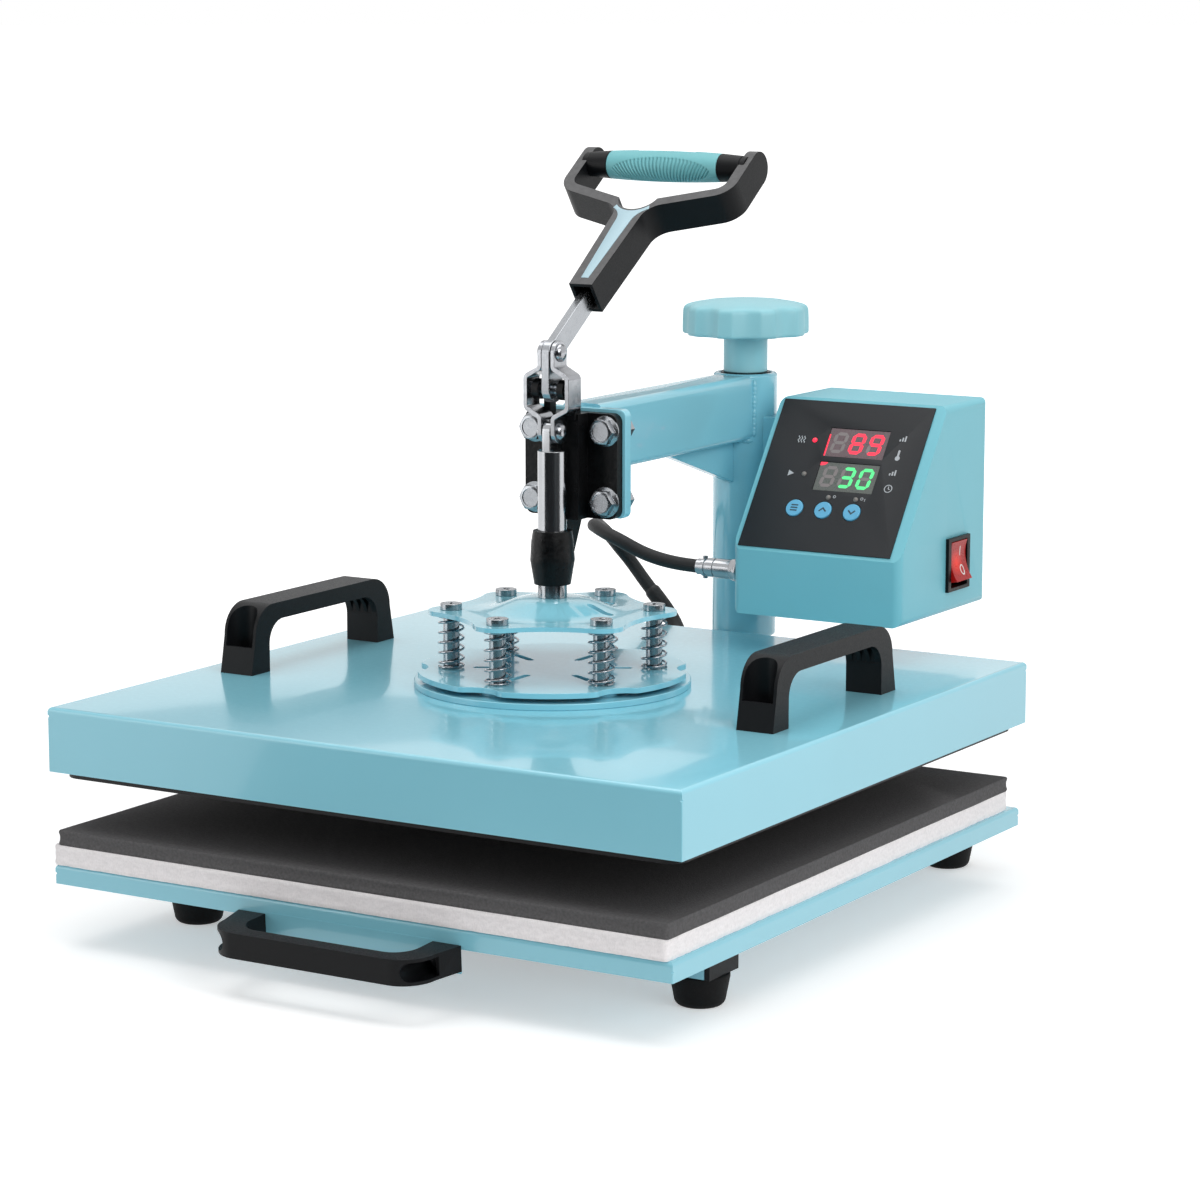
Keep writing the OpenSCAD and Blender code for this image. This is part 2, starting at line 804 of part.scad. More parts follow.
// Round plate with a shallow dip in its rim at each screw, the dip's corners eased
dip_r = 17;
dip_ease = 10;
dip_overlap = 0.3;
module dipped_plate() {
    r = lower_d / 2;
    dip = [screw_pcd_r + lobe_r + 0.4 + dip_r, 0];
    ease_at = r - dip_ease + dip_overlap;
    between = dip_r + dip_ease - dip_overlap;
    turn = acos((pow(ease_at, 2) + pow(dip.x, 2) - pow(between, 2)) / (2 * ease_at * dip.x));
    out = [cos(turn), sin(turn)];
    difference() {
        circle(r, $fn = 96);
        for (i = [0:spring_count - 1])
            rotate(90 + i * 360 / spring_count) difference() {
                polygon([
                    ease_at * out, (r + dip_r) * out, (r + dip_r) * [out.x, -out.y], ease_at * [out.x, -out.y], dip
                ]);
                for (y = [-1, 1]) translate(ease_at * [out.x, y * out.y]) circle(dip_ease);
            }
        for (i = [0:spring_count - 1])
            rotate(90 + i * 360 / spring_count) translate(dip) circle(dip_r);
    }
}

// Slot that points outwards from the middle
module spoke_slot(angle, from, to, w) {
    rotate(angle) flat_link([from, 0], [to, 0], w);
}

module lower_spider() {
    color(aqua) press() difference() {
        union() {
            translate([0, 0, lower_z]) linear_extrude(lower_t) difference() {
                dipped_plate();
                for (i = [0:spring_count - 1])
                    spoke_slot(90 + i * 360 / spring_count, screw_pcd_r - 29, screw_pcd_r - 14, 4);
            }
            at_spring_screws(disc_top) cylinder(d = shank_d + 9, h = boss_h + 0.5);
        }
        at_spring_screws(disc_top - 1) cylinder(d = shank_d, h = boss_h + lower_t + 2);
    }
}

// Profile of the pressed dome, from its foot to the flat round the plunger
function dome_points(foot, boss, low) = [
    for (i = [0:4]) [foot + (boss - foot) * i / 4, low + dome_h * (1 - cos(45 * i)) / 2]
];

module upper_spider() {
    flat_r = screw_pcd_r - lobe_r - 1;
    boss_r = plunger_d / 2 + 6;
    under = dome_points(flat_r - 3, boss_r - 1, 0);
    color(aqua) press() translate([0, 0, upper_z]) difference() {
        union() {
            linear_extrude(upper_t) difference() {
                lobed_plate(lobe_r, 120);
                circle(flat_r - 2);
            }
            difference() {
                rotate_extrude() polygon(concat(
                    [[flat_r, 0], [flat_r, upper_t]], dome_points(flat_r - 2, boss_r, upper_t),
                    [[screw_d / 2, upper_t + dome_h], [screw_d / 2, dome_h]],
                    [for (i = [4:-1:0]) under[i]]
                ));
                translate([0, 0, -1]) linear_extrude(upper_t + dome_h + 2)
                    for (i = [0:2]) spoke_slot(i * 360 / spring_count, flat_r - 17, flat_r - 6, 5);
            }
        }
        at_spring_screws(-1) cylinder(d = shank_d + 2 * run_fit, h = upper_t + 2);
    }
}

// Shoulder screws hold the lower spider to the cover and guide the upper spider
module shoulder_screws() {
    under_head = upper_top + run_fit;
    color(steel) press() difference() {
        union() {
            at_spring_screws(under_head) cylinder(d = head_d, h = head_h);
            at_spring_screws(cover_top - sheet_t)
                cylinder(d = shank_d, h = under_head - cover_top + sheet_t + 1);
            at_spring_screws(cover_top - sheet_t - 5) cylinder(d = shank_d + 6, h = 5, $fn = 6);
        }
        for (a = [0, 90])
            at_spring_screws(under_head + head_h - 0.75)
                rotate([0, 0, a]) cube([head_d / 2, 1.4, 2.5], center = true);
    }
}

// Points of one spring round its own axis: a straight end, the turns, a straight end
spring_low = lower_top + 0.05;
spring_high = upper_z - 0.05;
spring_steps = spring_turns * 8;
spring_rise = spring_high - spring_low - 4 * wire_d;
function spring_angle(i) = 360 * i / 8;
function spring_point(i) = [
    spring_d / 2 * cos(spring_angle(i)), spring_d / 2 * sin(spring_angle(i)),
    spring_low + 2 * wire_d + spring_rise * i / spring_steps
];
spring_path = concat(
    [[spring_d / 2, 0, spring_low], [spring_d / 2, 0, spring_low + wire_d]],
    [for (i = [1:spring_steps - 1]) spring_point(i)],
    [[spring_d / 2, 0, spring_high - wire_d], [spring_d / 2, 0, spring_high]]
);
spring_sides = 6;

// Least gap between two stretches of wire that lie about a turn apart
spring_gap = min([
    for (i = [4:spring_steps - 12], k = [6:10]) norm(spring_point(i + k) - spring_point(i)) - wire_d
]);
echo(spring_gap = spring_gap);

function unit(v) = v / norm(v);
function path_way(p, i) = unit(p[min(i + 1, len(p) - 1)] - p[max(i - 1, 0)]);

// Closed tube along a path, one ring to a point, square to the path and steadied by a fixed side vector
module swept_tube(path, r, sides, side_of) {
    n = len(path);
    rings = [
        for (i = [0:n - 1])
            let (t = path_way(path, i), u = unit(side_of[i] - (side_of[i] * t) * t), v = cross(t, u))
                for (k = [0:sides - 1]) path[i] + r * (cos(360 * k / sides) * u + sin(360 * k / sides) * v)
    ];
    walls = [
        for (i = [0:n - 2], k = [0:sides - 1])
            let (a = i * sides + k, b = i * sides + (k + 1) % sides)
                each [[a, a + sides, b], [b, a + sides, b + sides]]
    ];
    ends = [
        for (k = [1:sides - 2])
            each [[0, k, k + 1], [(n - 1) * sides, (n - 1) * sides + k + 1, (n - 1) * sides + k]]
    ];
    polyhedron(points = rings, faces = concat(walls, ends));
}

module compression_springs() {
    out = [for (p = spring_path) [p.x, p.y, 0]];
    color(steel) press() for (i = [0:spring_count - 1])
        rotate([0, 0, 90 + i * 360 / spring_count]) translate([screw_pcd_r, 0, 0])
            swept_tube(spring_path, wire_d / 2, spring_sides, out);
}

module plunger() {
    color(steel) press() difference() {
        union() {
            translate([0, 0, dome_top]) cylinder(d = plunger_d, h = shoulder_z - dome_top);
            translate([0, 0, upper_z + dome_h - 6]) cylinder(d = screw_d, h = upper_t + 7);
            translate([0, 0, upper_z + dome_h - 6]) cylinder(d = screw_d + 7, h = 6, $fn = 6);
            rotate([90, 0, 90]) linear_extrude(bar_t, center = true) {
                translate([-link_w / 2, shoulder_z - 1]) square([link_w, tongue_z - shoulder_z + 1]);
                translate([0, tongue_z]) circle(link_w / 2);
            }
        }
        translate([0, 0, tongue_z]) rotate([0, 90, 0]) cylinder(d = rivet_d, h = 2 * bar_t, center = true);
    }
}

// Black casting: guide barrel, web, flange and the two ears that hold the lever's pin
module clamp_body() {
    web_top = flange_z + flange_h;
    color(black) press() difference() {
        union() {
            translate([0, flange_back, flange_z + flange_h / 2])
                rotate([90, 0, 0]) linear_extrude(flange_t) round_rect(flange_w, flange_h, 5);
            translate([-block_w / 2, block_front, flange_z])
                cube([block_w, flange_back - block_front, web_top - flange_z]);
            rotate([90, 0, 90]) linear_extrude(web_t, center = true) polygon([
                [0, barrel_z + 2], [plunger_d / 2 + 2, barrel_z + 2], [flange_back, flange_z],
                [flange_back, flange_z + 12], [0, flange_z + 12]
            ]);
            translate([0, 0, barrel_z]) rotate_extrude() polygon([
                [0, 0], [barrel_d / 2 - 2.2, 0], [barrel_d / 2, barrel_l * 0.45],
                [barrel_d / 2 - 0.6, barrel_l * 0.8], [barrel_d / 2 - 1.6, barrel_l], [0, barrel_l]
            ]);
            for (s = [-1, 1])
                translate([s * (ear_in + ear_out) / 2, 0, 0]) rotate([90, 0, 90])
                    linear_extrude(ear_out - ear_in, center = true) {
                        translate([0, pivot_z]) circle(ear_r);
                        translate([0, pivot_z - ear_bar / 2]) square([ear_back, ear_bar]);
                        translate([link_w / 2 + 0.8, web_top - 3])
                            square([ear_back - link_w / 2 - 0.8, pivot_z + ear_bar / 2 - web_top + 3]);
                    }
        }
        cylinder(d = plunger_d + 2 * run_fit, h = shoulder_z);
        translate([-block_w, -30, barrel_z + barrel_l]) cube([2 * block_w, 30 + block_front, flange_z - barrel_z]);
        translate([0, 0, pivot_z]) rotate([0, 90, 0]) cylinder(d = pin_d, h = 40, center = true);
        at_clamp_bolts() cylinder(d = bolt_d + 0.4, h = 40, center = true);
    }
}

module at_clamp_bolts() {
    for (x = [-1, 1], z = [-1, 1])
        translate([x * bolt_gap_x / 2, flange_off, bolt_mid_z + z * bolt_gap_z / 2])
            rotate([90, 0, 0]) children();
}

// Hexagon bolts with a round flange under a head that is dished and chamfered
bolt_d = 8;
bolt_flange_d = 17;
bolt_hex_d = 15;
bolt_head_h = 6.4;
nut_h = 6.5;
module clamp_bolts() {
    color(zinc) press() at_clamp_bolts() {
        rotate_extrude() polygon([
            [0, 0], [bolt_flange_d / 2, 0], [bolt_flange_d / 2, 1], [bolt_hex_d / 2 - 0.8, 2.2], [0, 2.2]
        ]);
        difference() {
            intersection() {
                translate([0, 0, 1]) cylinder(d = bolt_hex_d, h = bolt_head_h - 1, $fn = 6);
                rotate_extrude() polygon([
                    [0, 0], [bolt_hex_d, 0], [bolt_hex_d, bolt_head_h - 5.2],
                    [bolt_hex_d / 2 - 1.2, bolt_head_h], [0, bolt_head_h]
                ]);
            }
            translate([0, 0, bolt_head_h - 0.5]) cylinder(d = bolt_hex_d - 5, h = 1);
        }
        translate([0, 0, -flange_t - plate_t - nut_h - 3])
            cylinder(d = bolt_d, h = flange_t + plate_t + nut_h + 4);
        translate([0, 0, -flange_t - plate_t - nut_h]) cylinder(d = bolt_hex_d, h = nut_h, $fn = 6);
    }
}

module clamp_plate() {
    color(aqua) press() difference() {
        translate([0, plate_back, flange_z + plate_h / 2])
            rotate([90, 0, 0]) linear_extrude(plate_t) round_rect(plate_w, plate_h, 4);
        at_clamp_bolts() cylinder(d = bolt_d + 0.4, h = 60, center = true);
    }
}

// Domed steel pin across the two ears
module pivot_pin() {
    color(steel) press() translate([0, 0, pivot_z]) rotate([0, 90, 0]) {
        cylinder(d = pin_d, h = 2 * ear_out + 0.6, center = true);
    }
}

module arm_beam() {
    color(aqua) press() difference() {
        translate([0, post_y, arm_z + arm_h / 2]) rotate([90, 0, 0])
            linear_extrude(post_y - plate_back) difference() {
                round_rect(arm_w, arm_h, arm_corner);
                round_rect(arm_w - 2 * arm_wall, arm_h - 2 * arm_wall, arm_corner - arm_wall);
            }
        translate([0, post_y, arm_z - 1]) cylinder(d = sleeve_d, h = arm_h + 2);
    }
}

module arm_gusset() {
    front = post_y - sleeve_d / 2;
    color(aqua) press() difference() {
        rotate([90, 0, 90]) linear_extrude(gusset_t, center = true) polygon([
            [front - gusset_l, arm_z], [post_y, arm_z], [post_y, arm_z - gusset_h - 6],
            [front, arm_z - gusset_h]
        ]);
        translate([0, post_y, arm_z - gusset_h - 20]) cylinder(d = sleeve_d, h = gusset_h + 40);
    }
}

module sleeve_tube() {
    edge = 1.2;
    bore = post_d + 2 * run_fit;
    color(aqua) press() translate([0, post_y, sleeve_z]) difference() {
        rotate_extrude() polygon([
            [0, 0], [sleeve_d / 2 - edge, 0], [sleeve_d / 2, edge], [sleeve_d / 2, sleeve_l - edge],
            [sleeve_d / 2 - edge, sleeve_l], [0, sleeve_l]
        ]);
        translate([0, 0, -1]) cylinder(d = bore, h = cap_plate_z - sleeve_z + 1);
        translate([0, 0, cap_plate_z - sleeve_z - 1]) cylinder(d = screw_d + 2, h = sleeve_l);
        translate([0, 0, sleeve_l - cap_recess]) cylinder(d = bore, h = cap_recess + 1);
    }
}

// Steel ring under the sleeve's cap, which the pressure screw carries up and down
module thrust_collar() {
    color(zinc) press() translate([0, post_y, collar_z]) difference() {
        cylinder(d = post_d, h = collar_t);
        translate([0, 0, -1]) cylinder(d = screw_d + 2 * run_fit, h = collar_t + 2);
    }
}

module pressure_screw() {
    keeper_t = 4;
    color(steel) press() translate([0, post_y, 0]) {
        translate([0, 0, screw_low]) cylinder(d = screw_d, h = knob_head_z + knob_h / 2 - screw_low);
        translate([0, 0, collar_z - keeper_t - run_fit]) cylinder(d = screw_d + 8, h = keeper_t);
        translate([0, 0, knob_z - washer_t]) cylinder(d = washer_d, h = washer_t);
    }
}

module pressure_knob() {
    r = knob_d / 2;
    crown = 4;
    scallop_r = 3.1416 * r / knob_lobes;
    color(aqua) press() translate([0, post_y, 0]) difference() {
        union() {
            translate([0, 0, knob_z]) cylinder(d = stem_d, h = stem_l + 1);
            translate([0, 0, knob_head_z]) intersection() {
                rotate_extrude() polygon([
                    [0, 0], [r - 2, 0], [r, 2], [r, knob_h - crown - 3], [r - 3, knob_h - crown],
                    [r * 0.7, knob_h - crown * 0.4], [r * 0.35, knob_h], [0, knob_h]
                ]);
                linear_extrude(knob_h + 1) difference() {
                    circle(r);
                    for (i = [0:knob_lobes - 1])
                        rotate((i + 0.5) * 360 / knob_lobes)
                            translate([r + scallop_r * 0.8, 0]) circle(scallop_r);
                }
            }
        }
        translate([0, 0, knob_z - 1]) cylinder(d = screw_d, h = stem_l + knob_h / 2 + 1);
    }
}

// Steel lug that holds the control box to the sleeve
module box_bracket() {
    h = 21;
    d = 18;
    color(aqua) press() difference() {
        translate([0, post_y - d / 2, box_z + box_h - 14 - h]) cube([box_x, d, h]);
        translate([0, post_y, sleeve_z]) cylinder(d = sleeve_d, h = sleeve_l);
        translate([-arm_w / 2, 0, arm_z]) cube([arm_w, post_y, arm_h]);
    }
}

// Side outline of the control box, drawn in with a step
module box_side(in) {
    a = slope_a / 2;
    polygon([
        [in, in], [box_d - in, in], [box_d - in, box_h - in],
        [box_slope + in * tan(45 - a), box_h - in], [in, box_lip - in * tan(a)]
    ]);
}

module box_block(in) {
    r = box_r - in;
    w = box_w - 2 * in;
    d = box_d - 2 * in;
    h = box_h - 2 * in;
    translate([box_x + box_w / 2, box_y, box_z]) intersection() {
        rotate([90, 0, 90]) linear_extrude(box_w - 2 * in, center = true) box_side(in);
        translate([0, box_d / 2, 0]) linear_extrude(box_h) round_rect(w, d, r);
        translate([0, box_d / 2, box_h / 2]) rotate([90, 0, 0])
            linear_extrude(box_d + 2, center = true) round_rect(w, h, r);
    }
}

// Frame of the sloping front: X from the box's left side, Y up the slope, Z out of it
module on_slope() {
    translate([box_x, box_y, box_z + box_lip]) rotate([90 - slope_a, 0, 0]) children();
}

module at_button(i) {
    on_slope() translate([button_x + i * button_gap, button_at, 0]) children();
}

module at_lamps() {
    on_slope() for (p = [[30.8, 73.2], [30.8, 50.9], [50.9, 37], [68.4, 37]])
        translate([p.x, p.y, 0]) children();
}

module display_cut(at) {
    on_slope() translate([display_x - display_w / 2, at - display_l / 2, -box_wall - display_t])
        cube([display_w, display_l, 2 * display_t + box_wall]);
}

module front_cuts() {
    display_cut(temperature_at);
    display_cut(time_at);
    for (i = [-1:1]) at_button(i) cylinder(d = button_d + 2 * move_gap, h = 12, center = true);
    at_lamps() cylinder(d = lamp_d, h = 12, center = true);
}

module box_shell() {
    color(box_aqua) press() difference() {
        box_block(0);
        difference() {
            box_block(box_wall);
            translate([box_x, back_y - box_wall - 1, box_z]) cube([box_w, box_wall + back_in + 2, box_h]);
        }
        translate([box_x + box_wall, back_y - box_wall - 1.5, box_z + box_wall])
            cube([box_w - 2 * box_wall, box_wall + back_in + 2, box_h - 2 * box_wall]);
        front_cuts();
        translate([box_x + box_w, switch_y, switch_z])
            cube([4 * box_wall, rocker_w + 4, rocker_l + 2], center = true);
        translate([box_x, connector_y, connector_z])
            rotate([0, 90, 0]) cylinder(d = 12, h = 4 * box_wall, center = true);
    }
}

module at_box_screws() {
    in = box_wall + 7;
    for (x = [in, box_w - in], z = [in, box_h - in])
        translate([box_x + x, back_y, box_z + z]) rotate([-90, 0, 0]) children();
}

// Back plate that closes the box, let in behind the rim
module box_back() {
    clear = 0.15;
    color(box_aqua) press() difference() {
        union() {
            translate([box_x + box_wall + clear, back_y - box_wall, box_z + box_wall + clear])
                cube([box_w - 2 * box_wall - 2 * clear, box_wall, box_h - 2 * box_wall - 2 * clear]);
            at_box_screws() translate([0, 0, -box_wall - 12]) cylinder(d = 7, h = 12.5);
        }
        at_box_screws() translate([0, 0, -box_wall - 9]) cylinder(d = 3, h = box_wall + 10);
        translate([inlet_x, back_y, inlet_z]) cube([27.6, 4 * box_wall, 19.6], center = true);
    }
}

module box_screws() {
    color(zinc) press() at_box_screws() {
        cylinder(d = 5.6, h = 1.8);
        translate([0, 0, -box_wall - 7]) cylinder(d = 3, h = box_wall + 8);
    }
}

// Inlet for a mains lead, in the box's back
inlet_x = box_x + box_w * 0.62;
inlet_z = box_z + 28;
module power_inlet() {
    color(black) press() translate([inlet_x, back_y, inlet_z]) difference() {
        union() {
            translate([-15.5, 0, -11.5]) cube([31, 1.6, 23]);
            translate([-13.7, -22, -9.7]) cube([27.4, 22.5, 19.4]);
        }
        translate([-12, -16, -8]) cube([24, 20, 16]);
    }
}

module control_panel() {
    color("#222224") press() difference() {
        on_slope() translate([(box_w - panel_w) / 2 - 2, (slope_l - panel_l) / 2, 0])
            cube([panel_w, panel_l, panel_t]);
        front_cuts();
    }
}

module display_block(at) {
    press() on_slope()
        translate([display_x - display_w / 2 + 0.1, at - display_l / 2 + 0.1, -display_t - box_wall])
            cube([display_w - 0.2, display_l - 0.2, display_t + box_wall + panel_t - 0.3]);
}

module temperature_display() { color("#6E6466") display_block(temperature_at); }
module time_display() { color("#6A6E68") display_block(time_at); }

module indicator_lamps() {
    color("#E8453C") press() at_lamps()
        translate([0, 0, -box_wall - display_t]) cylinder(d = lamp_d - 0.1, h = display_t + box_wall + panel_t + 0.2);
}

// Board behind the panel that carries the displays, the lamps and the keys
module circuit_board() {
    board_t = 1.6;
    color("#2F6B45") press() on_slope()
        translate([14, 14, -box_wall - display_t - board_t]) cube([box_w - 28, 72, board_t]);
}

module button(i) {
    color(button_blue) press() at_button(i) {
        translate([0, 0, -box_wall - display_t + 3]) cylinder(d = button_d - 3, h = 3);
        translate([0, 0, -box_wall]) cylinder(d = button_d, h = box_wall + panel_t + 0.6);
    }
}

module set_button() { button(-1); }
module up_button() { button(0); }
module down_button() { button(1); }

module switch_bezel() {
    depth = 18;
    color(black) press() translate([box_x + box_w, switch_y, switch_z]) difference() {
        union() {
            translate([0, -bezel_w / 2, -bezel_l / 2]) cube([bezel_t, bezel_w, bezel_l]);
            translate([-depth, -rocker_w / 2 - 1.9, -rocker_l / 2 - 0.9])
                cube([depth + 0.5, rocker_w + 3.8, rocker_l + 1.8]);
        }
        translate([-depth + 2, -rocker_w / 2 - move_gap, -rocker_l / 2 - move_gap])
            cube([depth + 10, rocker_w + 2 * move_gap, rocker_l + 2 * move_gap]);
        translate([-7, 0, 0]) rotate([90, 0, 0]) cylinder(d = 3 + 2 * run_fit, h = bezel_w - 2, center = true);
    }
}

// Rocker, hollow on its face and tipped so that its upper end is pressed in
rocker_tilt = 9;
rocker_out = 11.5;
module power_rocker() {
    color("#C0202A") press() translate([box_x + box_w - 7, switch_y, switch_z]) {
        rotate([90, 0, 0]) cylinder(d = 3, h = rocker_w + 2.4, center = true);
        rotate([0, -rocker_tilt, 0]) rotate([90, 0, 0]) linear_extrude(rocker_w - 0.4, center = true)
            difference() {
                translate([-4, -rocker_l / 2 + 1.6]) square([rocker_out + 4, rocker_l - 3.2]);
                translate([rocker_out + rocker_r - 3, 0]) circle(rocker_r);
                for (s = [-1, 1]) translate([-4, s * 14]) rotate(s * -30) square([10, 14], center = true);
            }
    }
}

// Round panel socket and the plug screwed onto it
module connector_socket() {
    r = connector_d / 2;
    color(steel) press() translate([box_x, connector_y, connector_z]) rotate([0, -90, 0])
        rotate_extrude() polygon([
            [0, -10], [5.9, -10], [5.9, 0], [connector_flare_d / 2, 0], [connector_flare_d / 2, 0.8],
            [r + 1.1, 3], [r + 0.3, socket_l], [0, socket_l]
        ]);
}

module connector_plug() {
    r = connector_d / 2;
    clamp_at = 18.1;
    color(steel) press() translate([box_x - socket_l, connector_y, connector_z]) rotate([0, -90, 0]) {
        rotate_extrude() polygon([
            [0, 0], [r, 0], [r, 10.2], [r - 0.7, 10.4], [r - 0.7, 11], [r - 0.2, 11.2], [r - 0.2, 15.6],
            [r - 1, 16], [r - 1, 16.8], [r - 0.4, 17.2], [r - 0.4, 19], [r - 1.1, 19.4],
            [r - 1.1, plug_l], [0, plug_l]
        ]);
        translate([0, 0, clamp_at]) rotate([0, 90, 0]) cylinder(d = 3, h = connector_d + 1.6, center = true);
    }
}

module platen_cable() {
    up = [for (p = cable_route) [0, 0.35, 1]];
    color(black) press() swept_tube(cable_route, cable_d / 2, cable_sides, up);
}

// Frame of the lever: X across, Y along the lever from its link rivet, Z out of its front
module on_lever() {
    translate([0, 0, link_top_z]) rotate([90 - lever_lean, 0, 0]) children();
}

module lever_bar() {
    along = [sin(lever_lean), cos(lever_lean)];
    color(zinc) press() difference() {
        rotate([90, 0, 90]) linear_extrude(bar_t, center = true) {
            flat_link([0, pivot_z], [0, link_top_z], bar_low_w);
            flat_link([0, link_top_z], [0, link_top_z] + (stem_at + 30) * along, bar_w);
        }
        translate([0, 0, pivot_z]) rotate([0, 90, 0])
            cylinder(d = pin_d + 2 * run_fit, h = 2 * bar_t, center = true);
        translate([0, 0, link_top_z]) rotate([0, 90, 0])
            cylinder(d = rivet_d + 2 * run_fit, h = 2 * bar_t, center = true);
    }
}

// Points of an arc round a centre, between two angles
function arc_points(c, r, from, to) = [
    for (i = [0:8]) let (a = from + (to - from) * i / 8) c + r * [cos(a), sin(a)]
];

// Right half of an outline, joined to its mirror image
function both_halves(half) = concat(half, [for (i = [len(half) - 2:-1:0]) [-half[i].x, half[i].y]]);

// Centres of the handle's curves: stem to arm, arm to its upright end, and the hollow between the arms
shoulder = [yoke_w / 2 + shoulder_r, stem_end - 3];
under_arm = shoulder + shoulder_r * [-sin(arm_rise), cos(arm_rise)];
elbow_start_x = handle_w / 2 - elbow_r + elbow_r * sin(arm_rise);
elbow = [
    handle_w / 2 - elbow_r,
    under_arm.y + (elbow_start_x - under_arm.x) * tan(arm_rise) + elbow_r * cos(arm_rise)
];
hollow = [0, stem_end + 3.7 + hollow_r];

// Tapering stem and two thin arms, seen from the front
module fork_outline() {
    polygon(both_halves(concat(
        [[stem_low_w / 2, stem_at]],
        arc_points(shoulder, shoulder_r, 180, 90 + arm_rise),
        arc_points(elbow, elbow_r, arm_rise - 90, 0),
        [[handle_w / 2, arm_end], [handle_w / 2 - arm_bar, arm_end]],
        arc_points(elbow, elbow_r - arm_bar, 0, arm_rise - 90),
        arc_points(hollow, hollow_r, -12, -90)
    )));
}

// The same handle seen from the side: straight, with round arm ends
module handle_side() {
    r = frame_t / 2;
    translate([stem_at, front_n - frame_t]) square([arm_end - r - stem_at, frame_t]);
    translate([arm_end - r, front_n - r]) circle(r);
}

// Narrow strip up the stem that flares into two horns under the hollow
inlay_low_w = 4.6;
inlay_top_w = 9.6;
inlay_rim = 3.5;
flare_r = 12;
module inlay_outline() {
    polygon(both_halves(concat(
        [[inlay_low_w / 2, stem_at + 5.5]],
        arc_points([inlay_top_w / 2 + flare_r, stem_end - 6.6], flare_r, 180, 122.8),
        arc_points(hollow, hollow_r + inlay_rim, -50, -90)
    )));
}

inlay_t = 1;
module lever_handle() {
    color(black) press() on_lever() difference() {
        intersection() {
            translate([0, 0, front_n - frame_t]) linear_extrude(frame_t) fork_outline();
            rotate([90, 0, 90]) linear_extrude(handle_w + 2, center = true) handle_side();
        }
        translate([-stem_low_w / 2 + stem_wall, stem_at - 1, front_n - frame_t + stem_wall])
            cube([stem_low_w - 2 * stem_wall, stem_hollow + 1, frame_t - 2 * stem_wall]);
        translate([-bar_t / 2, 0, -bar_w / 2]) cube([bar_t, stem_at + 30, bar_w]);
        translate([0, stem_at + 30, 0]) rotate([0, 90, 0]) cylinder(d = bar_w, h = bar_t, center = true);
        translate([0, 0, front_n - inlay_t]) linear_extrude(inlay_t + 1) inlay_outline();
        translate([0, grip_at, grip_n]) rotate([0, 90, 0])
            cylinder(d = grip_d - 5, h = handle_w - arm_bar, center = true);
    }
}

module lever_inlay() {
    color(aqua) press() on_lever()
        translate([0, 0, front_n - inlay_t]) linear_extrude(inlay_t + 0.2) inlay_outline();
}

// Core between the handle's arms, thicker where its black ends show
module grip_rod() {
    gap = handle_w - 2 * arm_bar;
    color(black) press() on_lever() translate([0, grip_at, grip_n]) rotate([0, 90, 0]) {
        cylinder(d = grip_d - 5, h = handle_w - arm_bar, center = true);
        for (m = [0, 1]) mirror([0, 0, m])
            translate([0, 0, grip_l / 2]) cylinder(d1 = grip_d - 2, d2 = grip_d - 4, h = (gap - grip_l) / 2);
    }
}

// Soft sleeve with ribs round its middle
module lever_grip() {
    pitch = grip_l * 0.8 / grip_ribs;
    groove = 0.5;
    ends = grip_d / 2 - 0.8;
    color(aqua) press() on_lever() translate([0, grip_at, grip_n]) rotate([0, 90, 0])
        rotate_extrude() polygon(concat(
            [[grip_d / 2 - 2.5, -grip_l / 2], [ends, -grip_l / 2], [grip_d / 2, -grip_ribs * pitch / 2]],
            [for (i = [0:grip_ribs - 1], p = [[0.15, 0], [0.3, groove], [0.7, groove], [0.85, 0]])
                [grip_d / 2 - p.y, (i + p.x - grip_ribs / 2) * pitch]],
            [[grip_d / 2, grip_ribs * pitch / 2], [ends, grip_l / 2], [grip_d / 2 - 2.5, grip_l / 2]]
        ));
}

// Half of the pair of bent plates, seen from the front: close at both rivets, bulging round the ears
link_turn_r = 2.5;
link_turn = 62;
module link_bend() {
    near = narrow_in + link_t / 2;
    far = bulge_w / 2 + link_t / 2;
    slant = (far - near - 2 * link_turn_r * (1 - cos(link_turn))) / sin(link_turn);
    low = link_w / 2 + 0.1;
    high = low + 2 * link_turn_r * sin(link_turn) + slant * cos(link_turn);
    in = [near + link_turn_r, low];
    out = [far - link_turn_r, high];
    inner = concat(
        [[narrow_in, -link_w]], arc_points(in, link_turn_r + link_t / 2, 180, 180 - link_turn),
        arc_points(out, link_turn_r - link_t / 2, -link_turn, 0)
    );
    outer = concat(
        [[narrow_in + link_t, -link_w]], arc_points(in, link_turn_r - link_t / 2, 180, 180 - link_turn),
        arc_points(out, link_turn_r + link_t / 2, -link_turn, 0)
    );
    last = len(inner) - 1;
    polygon(concat(
        inner, [for (i = [last:-1:0]) [inner[i].x, link_l - inner[i].y]],
        [for (i = [0:last]) [outer[i].x, link_l - outer[i].y]], [for (i = [last:-1:0]) outer[i]]
    ));
}

module link_plates() {
    color(steel) press() difference() {
        intersection() {
            translate([0, 0, tongue_z]) rotate([90, 0, 0]) linear_extrude(2 * link_w, center = true)
                for (m = [0, 1]) mirror([m, 0]) link_bend();
            translate([0, 0, tongue_z]) rotate([90, 0, 90]) linear_extrude(2 * bulge_w, center = true)
                flat_link([0, 0], [0, link_l], link_w);
        }
        for (z = [tongue_z, link_top_z])
            translate([0, 0, z]) rotate([0, 90, 0]) cylinder(d = rivet_d, h = 60, center = true);
    }
}

